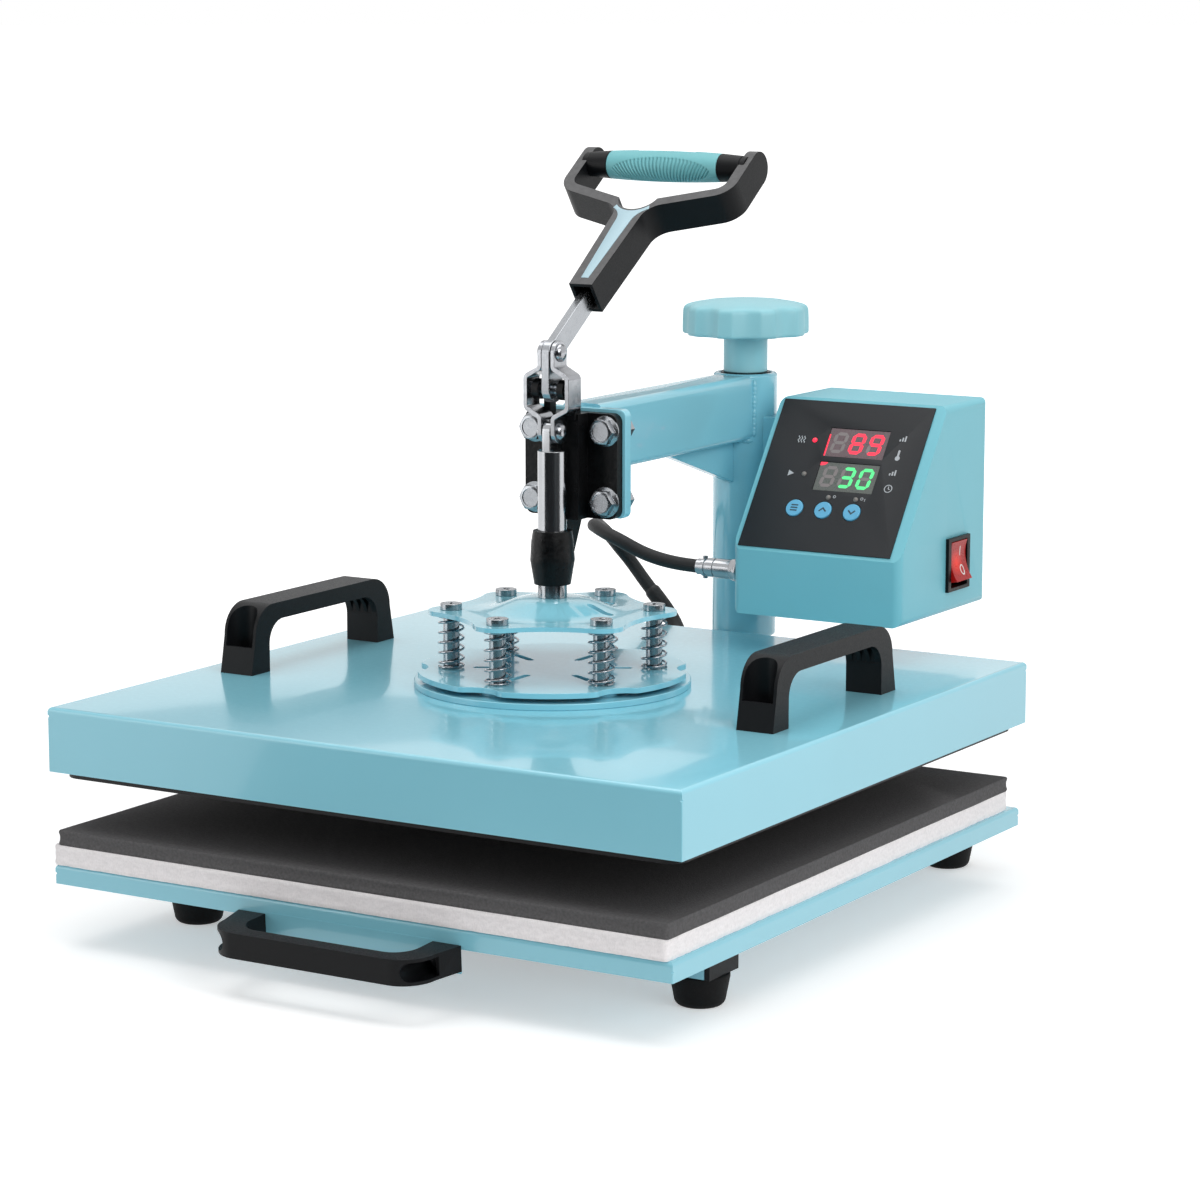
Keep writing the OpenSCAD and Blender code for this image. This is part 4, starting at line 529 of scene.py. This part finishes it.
# Lever: u runs up the lever, n stands out of its front, both from the upper link pin
lever = {
    "pin": (0.0, 0.0, 312.5), "lean": 35.5,
    "gripAt": (155.0, 6.0), "gripLength": 72.0, "gripRadius": 8.95, "gripTaper": 1.0, "endRound": 0.9,
    "gripRows": 260, "gripColumns": 132,
    "viewSide": (-0.685, 0.729),  # the side of the grip that the grooves face, in u and n
    "groovePitch": 2.35, "grooveDepth": 1.05, "grooveSharp": 1.6,
    "fieldLength": 32.5, "fieldTurn": 56.0, "fieldMiddle": -30.0, "fieldFade": 0.12,
    "fan": 0.17, "fanFrom": 20.0, "fanSpan": 50.0, "fanLimits": (-0.3, 1.4),
    "recessLength": 19.5, "recessTurn": 17.0, "recessMiddle": 84.0, "recessDepth": 0.45, "recessFade": (0.7, 5.0),
    "inlayFront": 11.7, "inlayBack": 10.6, "inlayEdge": 0.25, "inlayFoot": 0.02, "inlayLow": (2.3, 49.5),
    "flare": (16.8, 99.4, 12.0), "flareArc": (180, 116), "hollow": (122.3, 14.0), "hollowArc": (-41, -90),
    "frontFacing": 0.9,  # faces this far turned to the lever's front, as a cosine, have the coarse grain and a lighter grey that is partly painted light
}


def onLever(points):  # (x, u, n) of the lever to the row's place
    c, s = math.cos(math.radians(lever["lean"])), math.sin(math.radians(lever["lean"]))
    return np.asarray(points) @ np.array([[1, 0, 0], [0, c, s], [0, -s, c]]) + lever["pin"]


def softStep(value, width):  # 0 below zero, 1 above width, smooth between
    t = np.clip(value / width, 0, 1)
    return t * t * (3 - 2 * t)


def gripShell(settings):  # barrel of revolution; grooves fan out in an oval field, and a flat pad lies on top
    half = settings["gripLength"] / 2
    x = np.linspace(-half, half, settings["gripRows"])[:, None]
    turn = np.linspace(-np.pi, np.pi, settings["gripColumns"], endpoint=False)[None, :]
    radius = settings["gripRadius"] - settings["gripTaper"] * (x / half) ** 2
    over = np.clip((np.abs(x) - half + settings["endRound"]) / settings["endRound"], 0, 1)
    radius = radius - settings["endRound"] * (1 - np.sqrt(1 - 0.98 * over ** 2))
    down = np.degrees(turn) - settings["fieldMiddle"]
    inField = 1 - (x / settings["fieldLength"]) ** 2 - (down / settings["fieldTurn"]) ** 2
    fanned = np.clip((settings["fanFrom"] - down) / settings["fanSpan"], *settings["fanLimits"])
    spread = x / (1 - settings["fan"] * fanned)
    groove = (0.5 + 0.5 * np.cos(2 * np.pi * spread / settings["groovePitch"])) ** settings["grooveSharp"]
    radius = radius - settings["grooveDepth"] * groove * softStep(inField, settings["fieldFade"])
    aside = np.abs(np.degrees(turn) - settings["recessMiddle"])
    fadeX, fadeTurn = settings["recessFade"]
    pad = softStep(settings["recessLength"] - np.abs(x), fadeX) * softStep(settings["recessTurn"] - aside, fadeTurn)
    radius = radius - settings["recessDepth"] * pad
    facing = np.array(settings["viewSide"])
    above = np.array([facing[1], -facing[0]])
    u = settings["gripAt"][0] + radius * (np.cos(turn) * facing[0] + np.sin(turn) * above[0])
    n = settings["gripAt"][1] + radius * (np.cos(turn) * facing[1] + np.sin(turn) * above[1])
    points, faces = gridShell(np.stack([x + 0 * turn, u, n], -1))
    return onLever(points), faces


addPiece("ribbed_grip", gripShell(lever), "grip_rubber", "lever", "lever_grip", crease=60)


def arcPoints(centre, radius, start, stop, count=14):  # points on a circle between two angles
    angle = np.radians(np.linspace(start, stop, count))
    return np.stack([centre[0] + radius * np.cos(angle), centre[1] + radius * np.sin(angle)], 1)


def inlayShell(settings):  # right half: a straight run, the flare and the hollow's rim; the left half is its mirror
    flareX, flareU, flareRadius = settings["flare"]
    hollowU, hollowRadius = settings["hollow"]
    right = np.concatenate([
        [settings["inlayLow"]], arcPoints((flareX, flareU), flareRadius, *settings["flareArc"]),
        arcPoints((0, hollowU), hollowRadius, *settings["hollowArc"]),
    ])
    outline = np.concatenate([right, right[-2::-1] * [-1, 1]])
    points, faces = slab(outline, settings["inlayBack"], settings["inlayFront"], settings["inlayEdge"],
                         settings["inlayFoot"], 3)
    return onLever(points), faces


addPiece("handle_inlay", inlayShell(lever), "inlay_plastic", "lever", "lever_inlay")
print("knob, grip and inlay ready")

# Control panel: x to the right, t up the slope, and out of its face
panel = {
    "origin": (33.0, 142.1, 189.1), "slope": math.degrees(math.atan2(58.7, 82.6)),
    "filmTop": 0.8, "windowTop": 0.5, "keyTop": 1.4, "printRise": 0.05, "printEdge": 0.02,
    "windowX": 58.0, "windowHalf": (19.0, 9.25), "upperT": 72.8, "lowerT": 50.6, "upper": " 89", "lower": " 30",
    "digitFrom": -11.3, "digitPitch": 11.6, "digitWidth": 8.9, "digitHeight": 13.6, "barWidth": 2.1, "barGap": 0.3,
    "lean": 6.0,
    "edgeGlow": (0.9, 14.2, 0.4), "edgeGlowAt": (0.5, -1.9), "cornerGlow": 4.4, "cornerGlowAt": (0.1, -0.2),
    "lamps": [(30.8, 73.2), (30.8, 50.9), (50.9, 37.0), (68.4, 37.0)],
    "lampSides": 24, "lampProfile": [(1.5, 0.2), (1.5, 0.9), (1.3, 1.35), (0.8, 1.65), (0.03, 1.75)],
    "keys": {"set_key": (31.6, 28.7), "up_key": (50.0, 28.7), "down_key": (68.4, 28.7)},
}
litBars = {"0": "abcdef", "3": "abcdg", "8": "abcdefg", "9": "abcdfg", " ": ""}


def onSlope(points):  # (x, t, out) of the panel to the row's place
    c, s = math.cos(math.radians(panel["slope"])), math.sin(math.radians(panel["slope"]))
    return np.asarray(points) @ np.array([[1, 0, 0], [0, s, c], [0, -c, s]]) + panel["origin"]


def stroke(path, width):  # outline of a line of even width, mitred at its bends
    path = np.asarray(path, float)
    edge = np.diff(path, axis=0)
    normal = np.stack([-edge[:, 1], edge[:, 0]], 1) / np.linalg.norm(edge, axis=1, keepdims=True)
    mean = np.concatenate([normal[:1], normal[:-1] + normal[1:], normal[-1:]])
    share = np.r_[1, np.full(len(path) - 2, 2.0), 1][:, None]
    side = mean * share / (mean * mean).sum(1, keepdims=True) * width / 2
    return np.concatenate([path - side, (path + side)[::-1]])


def mark(outline, at, low):  # thin raised print on the panel
    points, faces = slab(np.asarray(outline, float) + at, low, low + panel["printRise"], panel["printEdge"], 0.0, 1)
    return onSlope(points), faces


def ringPoints(radius, width, low, rise, stretch=1.0, count=44):  # flat ring of a square section, as a closed grid
    angle = np.linspace(0, 2 * np.pi, count, endpoint=False)
    side, height = np.array([(-1, low), (1, low), (1, low + rise), (-1, low + rise)]).T[:, :, None]
    x = (radius + side * width / 2) * np.cos(angle)
    y = (radius * stretch + side * width / 2) * np.sin(angle)
    return gridShell(np.stack([x, y, height + 0 * angle], -1), wrapRows=True)


def ringMark(radius, width, at, low):  # the same ring as print on the panel
    points, faces = ringPoints(radius, width, low, panel["printRise"])
    return onSlope(points + [*at, 0]), faces


def barOutline(length, width, upright):  # six-sided bar, pointed at both ends
    h, w = length / 2, width / 2
    outline = np.array([(-h, 0), (-h + w, -w), (h - w, -w), (h, 0), (h - w, w), (-h + w, w)])
    return outline @ turnZ(90)[:2, :2].T if upright else outline


def digitBars(text, t):  # lit and unlit bars of a row of seven-bar digits, each leaning by the same angle
    w, h, b, gap = panel["digitWidth"], panel["digitHeight"], panel["barWidth"], panel["barGap"]
    across, along = w - b - gap, (h - b) / 2 - gap
    side, quarter = (w - b) / 2, (h - b) / 4
    places = {
        "a": (0, (h - b) / 2, False), "b": (side, quarter, True), "c": (side, -quarter, True),
        "d": (0, -(h - b) / 2, False), "e": (-side, -quarter, True), "f": (-side, quarter, True), "g": (0, 0, False),
    }
    lit, unlit = [], []
    for place, digit in enumerate(text):
        centre = (panel["windowX"] + panel["digitFrom"] + place * panel["digitPitch"], t)
        for bar, (x, y, upright) in places.items():
            outline = barOutline(along if upright else across, b, upright) + (x, y)
            outline[:, 0] += outline[:, 1] * math.tan(math.radians(panel["lean"]))
            (lit if bar in litBars[digit] else unlit).append(mark(outline, centre, panel["windowTop"]))
    return lit, unlit


upperLit, upperUnlit = digitBars(panel["upper"], panel["upperT"])
lowerLit, lowerUnlit = digitBars(panel["lower"], panel["lowerT"])
# light that leaks in at the left edge of the upper window and the corner of the lower one
halfX, halfT = panel["windowHalf"]
edgeAt = np.array([panel["windowX"] - halfX, panel["upperT"]]) + panel["edgeGlowAt"]
cornerAt = np.array([panel["windowX"] - halfX, panel["lowerT"] + halfT]) + panel["cornerGlowAt"]
cornerGlow = np.concatenate([arcPoints((0, 0), panel["cornerGlow"], -90, 0, 6) * [1, 0.5], [(0, 0)]])
upperLit += [mark(roundRect(*panel["edgeGlow"]), edgeAt, panel["windowTop"]),
             mark(cornerGlow, cornerAt, panel["windowTop"])]
addPiece("red_digits", joinShells(*upperLit), "lit_red", "arm")
addPiece("green_digits", joinShells(*lowerLit), "lit_green", "arm")
addPiece("unlit_digits", joinShells(*upperUnlit, *lowerUnlit), "dim_segment", "arm")


def lampShell(places):  # small domed lenses
    points, faces = lathe(panel["lampProfile"], panel["lampSides"])
    return joinShells(*[(onSlope(points + [x, t, 0]), faces) for x, t in places])


addPiece("lit_lamp", lampShell(panel["lamps"][:1]), "lit_red", "arm")
addPiece("lamp_lenses", lampShell(panel["lamps"][1:]), "lamp_grey", "arm", "indicator_lamps")

# generic signs and where each stands: heat, run, level, thermometer, clock and degree rings
signs = {
    "heat": (20.4, 73.2), "run": (22.2, 50.9), "levels": [(84.6, 78.2), (84.6, 56.0)], "thermometer": (86.2, 67.4),
    "clock": (86.4, 45.6), "degrees": [(54.6, 37.8), (72.1, 37.8)], "dash": (74.1, 37.1),
}
film = panel["filmTop"]
waveT = np.linspace(-2.2, 2.2, 17)
heat = stroke(np.stack([0.45 * np.sin(waveT * 2.6), waveT], 1), 0.5)
bulb = np.concatenate([arcPoints((0, -2.1), 1.5, 115, 425, 22), arcPoints((0, 2.6), 0.63, 0, 180, 9)])
bars = [roundRect(0.9, tall, 0.15, 3) + [1.6 * i, tall / 2 - 1.9] for i, tall in enumerate((1.4, 2.5, 3.6))]
signShells = [mark(heat + [1.8 * i, 0], signs["heat"], film) for i in range(3)]
signShells += [mark([(-1.7, -1.9), (1.9, 0), (-1.7, 1.9)], signs["run"], film)]
signShells += [mark(bar, at, film) for at in signs["levels"] for bar in bars]
signShells += [mark(bulb, signs["thermometer"], film), ringMark(2.3, 0.5, signs["clock"], film)]
signShells += [mark(stroke([(0, 1.5), (0, 0), (1.1, -0.6)], 0.45), signs["clock"], film)]
signShells += [ringMark(0.75, 0.35, at, film) for at in signs["degrees"]]
signShells += [mark(roundRect(0.4, 1.9, 0.1, 3), signs["dash"], film)]
addPiece("panel_signs", joinShells(*signShells), "print_grey", "arm")

# signs on the keys: three bars, up and down
keyMarks = {
    "set_key": [stroke([(-2.2, t), (2.2, t)], 0.85) for t in (-1.7, 0.0, 1.7)],
    "up_key": [stroke([(-2.2, -1.0), (0, 1.1), (2.2, -1.0)], 0.95)],
    "down_key": [stroke([(-2.2, 1.0), (0, -1.1), (2.2, 1.0)], 0.95)],
}
for key, outlines in keyMarks.items():
    shells = [mark(outline, panel["keys"][key], panel["keyTop"]) for outline in outlines]
    addPiece(key + "_sign", joinShells(*shells), "key_ink", key)

# Rocker: a tilted block with a hollow face; its bar and ring follow that face
rocker = {"axis": (133.6, 214.1, 179.7), "tilt": 9.0, "faceOut": 8.5, "faceRadius": 26.0, "rise": 0.07, "sunk": 0.02,
          "line": (0.9, 5.6, 0.35), "lineAt": (2.0, 5.6), "linePoints": 26,
          "oval": (2.0, 0.8), "ovalAt": (2.2, -5.4, 0), "ovalStretch": 1.35}


def onRocker(points):  # (across, up, out) of the rocker's face to the row's place
    across, up, out = np.asarray(points, float).T
    reach = rocker["faceOut"] + rocker["faceRadius"] - np.sqrt(rocker["faceRadius"] ** 2 - up ** 2) + out
    c, s = math.cos(math.radians(rocker["tilt"])), math.sin(math.radians(rocker["tilt"]))
    return np.stack([reach * c - up * s, across, reach * s + up * c], 1) + rocker["axis"]


line = splitEdges(roundRect(*rocker["line"], 3), rocker["linePoints"])[0] + rocker["lineAt"]
linePoints, lineFaces = slab(line, -rocker["sunk"], rocker["rise"], panel["printEdge"], 0.0, 1)
ovalPoints, ovalFaces = ringPoints(*rocker["oval"], -rocker["sunk"], rocker["rise"] + rocker["sunk"],
                                   rocker["ovalStretch"])
rockerMarks = joinShells((onRocker(linePoints), lineFaces), (onRocker(ovalPoints + rocker["ovalAt"]), ovalFaces))
addPiece("rocker_marks", rockerMarks, "print_white", "switch")
print("panel, keys and rocker signs ready")

# Weld beads: a ripple along each seam, half sunk into the paint; reach is from the sleeve's axis to a bead's middle
welds = {
    "radius": 1.35, "sides": 12, "ripple": 0.12, "pitch": 2.6, "wander": 0.8, "uneven": 0.25, "smoothOver": 9,
    "taper": 1.6, "tip": 0.35, "seed": 12, "sleeve": 19.0, "reach": 18.9, "postY": 215.5, "armHalf": 13.0,
    "armLow": 244.0, "armHigh": 282.0, "lowGap": 1.5, "highGap": 2.5, "aside": 0.035, "below": 0.3,
    "sideRings": 110, "underRings": 90,
}


def weldBead(path, side, settings, random):  # tube whose radius swells once per pitch, by a slightly uneven amount
    run = np.r_[0, np.linalg.norm(np.diff(path, axis=0), axis=1).cumsum()]
    phase = 2 * np.pi * run / settings["pitch"] + settings["wander"] * np.sin(run * 0.9 + random.uniform(0, 6))
    span = settings["smoothOver"]
    uneven = np.convolve(random.standard_normal(len(path) + span - 1), np.ones(span) / span, "valid")
    ends = settings["tip"] + (1 - settings["tip"]) * softStep(np.minimum(run, run[-1] - run), settings["taper"])
    swell = 1 + settings["ripple"] * np.cos(phase) + settings["uneven"] * uneven
    return pathTube(path, settings["radius"] * ends * swell, settings["sides"], side)


def weldShell(settings):  # up both sides of the arm where it meets the sleeve, and along its underside
    random = np.random.default_rng(settings["seed"])
    turn = math.asin(settings["armHalf"] / settings["sleeve"])
    low, high = settings["armLow"] + settings["lowGap"], settings["armHigh"] - settings["highGap"]

    def roundSleeve(angle, z):  # points at an angle from the sleeve's front, at a height
        x, y = settings["reach"] * np.sin(angle), settings["postY"] - settings["reach"] * np.cos(angle)
        return np.stack(np.broadcast_arrays(x, y, z), 1)

    upright = np.linspace(low, high, settings["sideRings"])
    under = np.linspace(-turn, turn, settings["underRings"])
    seams = [(roundSleeve(hand * (turn + settings["aside"]), upright), (1, 0.2, 0.05)) for hand in (-1, 1)]
    seams.append((roundSleeve(under, settings["armLow"] - settings["below"]), (0.1, 0.2, 1)))
    return joinShells(*[weldBead(path, side, settings, random) for path, side in seams])


addPiece("weld_beads", weldShell(welds), "aqua_paint", "arm", crease=80)
print("weld beads ready")

# CAD solids that keep their shape: the ones that show get rounded edges, the hidden ones only their finish
# merge in m; faces within the flat angle become one, edges past the crease angle are rounded (degrees)
easing = {"merge": 2e-6, "flat": 0.6, "crease": 32.0, "segments": 3, "keepTriangles": {"base_frame"}}
bodyOf = {node: body for body, nodes in frame["record"]["behaviour"]["bodies"].items() for node in nodes}


def easedCopy(node, finishName, width):
    # a CAD node's own solid, merged, with its sharp edges rounded by width; a ring's faces stay triangles
    bm = bmesh.new()
    bm.from_mesh(frame["nodes"][node].data)
    bmesh.ops.remove_doubles(bm, verts=bm.verts, dist=easing["merge"])
    if node not in easing["keepTriangles"]:
        bmesh.ops.dissolve_limit(bm, angle_limit=math.radians(easing["flat"]), verts=bm.verts, edges=bm.edges,
                                 use_dissolve_boundaries=False)
    mesh = bpy.data.meshes.new(node + "_eased")
    bm.to_mesh(mesh)
    bm.free()
    if "custom_normal" in mesh.attributes:
        mesh.attributes.remove(mesh.attributes["custom_normal"])
    mesh.materials.clear()
    mesh.materials.append(finishOf[finishName])
    mesh.shade_smooth()
    mesh.set_sharp_from_angle(angle=math.radians(easing["crease"]))
    piece = bpy.data.objects.new(node + "_eased", mesh)
    scene.collection.objects.link(piece)
    bevel = piece.modifiers.new("edge", "BEVEL")
    bevel.width, bevel.segments = width * mm, easing["segments"]
    bevel.limit_method, bevel.angle_limit = "ANGLE", math.radians(easing["crease"])
    bevel.use_clamp_overlap = True
    bevel.miter_outer = "MITER_ARC"
    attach(piece, bodyOf[node])
    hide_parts(node)


edges = {  # the solids of each finish, with the rounding of their edges (mm)
    "aqua_paint": {
        "base_frame": 0.8, "drawer_tray": 0.35, "sleeve_tube": 0.5, "arm_beam": 2.0, "arm_gusset": 0.6,
        "clamp_plate": 0.8, "box_bracket": 0.6, "upper_spider": 0.5, "lower_spider": 0.5, "mount_disc": 0.6,
        "platen_cover": 0.3},
    "box_paint": {"box_shell": 1.6, "box_back": 0.4},
    "black_plastic": {
        "tube_end_caps": 0.6, "drawer_handle": 1.4, "left_handle": 1.4, "right_handle": 1.4, "switch_bezel": 0.6,
        "power_inlet": 0.5, "lever_handle": 1.5, "grip_rod": 0.6},
    "foot_rubber": {"rubber_feet": 1.0},
    "cable_rubber": {"cable_grommet": 0.3},
    "black_casting": {"clamp_body": 1.2},
    "heater_coating": {"heating_plate": 0.2},
    "zinc_steel": {
        "post": 0.6, "drawer_handle_screws": 0.3, "cover_handle_screws": 0.3, "clamp_bolts": 0.5, "pivot_pin": 0.3,
        "box_screws": 0.3, "lever_bar": 0.4, "shoulder_screws": 0.4},
    "bright_steel": {"connector_plug": 0.2, "connector_socket": 0.5, "plunger": 0.6},
    "link_chrome": {"link_plates": 0.5, "link_rivets": 0.3},
    "panel_film": {"control_panel": 0.2},
    "display_red": {"temperature_display": 0.2},
    "display_green": {"time_display": 0.2},
    "key_blue": {"set_button": 0.5, "up_button": 0.5, "down_button": 0.5},
    "rocker_red": {"power_rocker": 0.5},
}
for finishName, widths in edges.items():
    for node, width in widths.items():
        easedCopy(node, finishName, width)

# the heating plate's face lies a little lower and wider, so that its edge shows as a dark line under the cover
plate = {"drop": 0.38, "wider": 1.3, "faceBand": 1.0}
plateMesh = bpy.data.objects["heating_plate_eased"].data
plateCorners = np.empty(3 * len(plateMesh.vertices), np.float32)
plateMesh.vertices.foreach_get("co", plateCorners)
plateCorners = plateCorners.reshape(-1, 3) / mm
plateLow, plateHigh = boxOf("heating_plate")
plateCentre, plateHalf = (plateLow + plateHigh) / 2, (plateHigh - plateLow) / 2
plateCorners[:, :2] += (plateCorners - plateCentre)[:, :2] / plateHalf[:2] * plate["wider"]
plateCorners[:, 2] -= plate["drop"] * (plateCorners[:, 2] < plateLow[2] + plate["faceBand"])
plateMesh.vertices.foreach_set("co", (plateCorners * mm).astype(np.float32).ravel())

# the front of the lever handle has a coarse grain and a lighter grey, partly painted light from the top lamp that
# these faces look up to; its sides are smooth
handleMesh = bpy.data.objects["lever_handle_eased"].data
handleMesh.materials.append(finishOf["handle_grain_and_painted_light"])
faceNormals = np.empty(3 * len(handleMesh.polygons), np.float32)
handleMesh.polygons.foreach_get("normal", faceNormals)
leverFront = onLever([(0, 0, 1)])[0] - lever["pin"]
isFront = faceNormals.reshape(-1, 3) @ leverFront > lever["frontFacing"]
handleMesh.polygons.foreach_set("material_index", isFront.astype(np.int32))

hidden = {
    "foot_screws": "zinc_steel", "drawer_slides": "zinc_steel", "drawer_runners": "zinc_steel",
    "thrust_collar": "zinc_steel", "pressure_screw": "black_casting", "circuit_board": "board",
    "insulation_board": "mineral_wool",
}
for node, finishName in hidden.items():
    for holder in frame["nodes"][node].material_slots:
        holder.material = finishOf[finishName]
print("solids dressed:", sum(map(len, edges.values())), "with eased edges,", len(hidden), "as they are")

# Camera, light and floor
look = {
    "target": (26.03, -3.70, 177.91), "back": (0.5127, -0.8420, 0.1680), "distance": 1984.66, "lens": 109.21,
    "sensor": 36.0, "farthest": 100.0,
    "floorRadius": 40.0, "floorTone": (236, 236, 236), "floorLift": (0.42, 1.0), "floorFade": (0.5, 1.6),
    "worldLight": 0.34,
    # name: place (m), aim (m), size (m), power (W)
    "softboxes": {
        "top": ((-0.15, 0.1, 1.9), (0.0, 0.0, 0.15), (2.0, 1.6), 20.0),
        "right": ((3.4, -1.15, 1.55), (0.0, 0.0, 0.25), (2.2, 2.2), 42.0),
        "front": ((-0.95, -1.0, 0.45), (-0.15, -0.15, 0.12), (0.7, 0.7), 2.2),
        "arm": ((0.45, -0.25, 0.55), (0.0, 0.1, 0.25), (0.3, 0.3), 1.0),
    },
    "flagColumns": 32, "flagCloth": (0.9, 0.06, 9, 0.02, 700),  # roughness, tint and grain as in the finishes
    # dark cards that only reflections see: (radius, height) profile, middle and half turn (degrees), tone
    "flags": {
        "front": ([(0.5, 0.004), (3.0, 0.004), (3.2, 0.2), (3.2, 2.1)], -58.7, 62.0, (62, 64, 67)),
        "back": ([(1.2, 0.4), (1.2, 0.505)], 121.3, 32.0, (128, 134, 140)),
    },
}
aim = np.array(look["target"]) * mm
back = Vector(look["back"]).normalized()
camera = bpy.data.objects.new("camera", bpy.data.cameras.new("camera"))
camera.data.lens = look["lens"]
camera.data.sensor_width = look["sensor"]
camera.data.clip_end = look["farthest"]
camera.location = Vector(aim) + back * look["distance"] * mm
camera.rotation_euler = back.to_track_quat("Z", "Y").to_euler()
scene.collection.objects.link(camera)
scene.camera = camera

for name, (place, towards, size, power) in look["softboxes"].items():
    lamp = bpy.data.lights.new("softbox_" + name, "AREA")
    lamp.shape = "RECTANGLE"
    lamp.size, lamp.size_y = size
    lamp.energy = power
    softbox = bpy.data.objects.new("softbox_" + name, lamp)
    softbox.location = place
    softbox.rotation_euler = (Vector(place) - Vector(towards)).to_track_quat("Z", "Y").to_euler()
    scene.collection.objects.link(softbox)


def seenWhite(tree):  # 1 for rays that look: from the camera, in a mirror or through glass
    path = tree.nodes.new("ShaderNodeLightPath")
    most = path.outputs["Is Camera Ray"]
    for output in ("Is Glossy Ray", "Is Transmission Ray"):
        most = mathNode(tree, "MAXIMUM", most, path.outputs[output])
    return most


world = bpy.data.worlds.new("studio")
world.use_nodes = True
scene.world = world
worldTree = world.node_tree
strength = worldTree.nodes.new("ShaderNodeMapRange")
worldTree.links.new(seenWhite(worldTree), strength.inputs["Value"])
strength.inputs["To Min"].default_value = look["worldLight"]
strength.inputs["To Max"].default_value = 1.0
worldTree.links.new(strength.outputs["Result"], worldTree.nodes["Background"].inputs["Strength"])
worldTree.nodes["Background"].inputs["Color"].default_value = (1, 1, 1, 1)

floorBoard = NodeBoard("pale_floor")
floorTree = floorBoard.tree
floorTree.nodes.remove(floorBoard.shader)
matt = floorBoard.add("ShaderNodeBsdfDiffuse", Color=linear(*look["floorTone"]))
away = floorBoard.add("ShaderNodeVectorMath", Vector=floorBoard.coords)  # the lamps' light fades with distance
away.operation = "LENGTH"
fade = floorBoard.span(away.outputs["Value"], *look["floorLift"], *look["floorFade"])
lift = floorBoard.add("ShaderNodeEmission", Strength=mathNode(floorTree, "MULTIPLY", seenWhite(floorTree), fade))
both = floorTree.nodes.new("ShaderNodeAddShader")
floorTree.links.new(matt.outputs[0], both.inputs[0])
floorTree.links.new(lift.outputs[0], both.inputs[1])
floorTree.links.new(both.outputs[0], floorTree.nodes["Material Output"].inputs["Surface"])
rim = np.linspace(0, 2 * np.pi, 96, endpoint=False)
floorMesh = bpy.data.meshes.new("floor")
rimPoints = look["floorRadius"] * np.stack([np.cos(rim), np.sin(rim), 0 * rim], 1)
floorMesh.from_pydata(rimPoints.tolist(), [], [list(range(len(rim)))])
floorMesh.materials.append(floorBoard.material)
floor = bpy.data.objects.new("floor", floorMesh)
scene.collection.objects.link(floor)

# flags: the front one lies on the floor and rises behind the camera, the back one keeps white off the arm's top
for name, (profile, middle, halfTurn, tone) in look["flags"].items():
    turn = np.radians(middle + np.linspace(-halfTurn, halfTurn, look["flagColumns"]))
    rows = [np.stack([radius * np.cos(turn), radius * np.sin(turn), 0 * turn + z], 1) for radius, z in profile]
    flagMesh = bpy.data.meshes.new("flag_" + name)
    flagMesh.from_pydata(np.concatenate(rows).tolist(), [], gridFaces(len(rows), len(turn)).tolist())
    flagMesh.materials.append(finish("flag_cloth_" + name, tone, *look["flagCloth"], specular=0.0))
    flag = bpy.data.objects.new("flag_" + name, flagMesh)
    flag.visible_camera = flag.visible_diffuse = flag.visible_shadow = flag.visible_transmission = False
    scene.collection.objects.link(flag)
scene.view_settings.view_transform = "Standard"
print("camera, light and floor set")
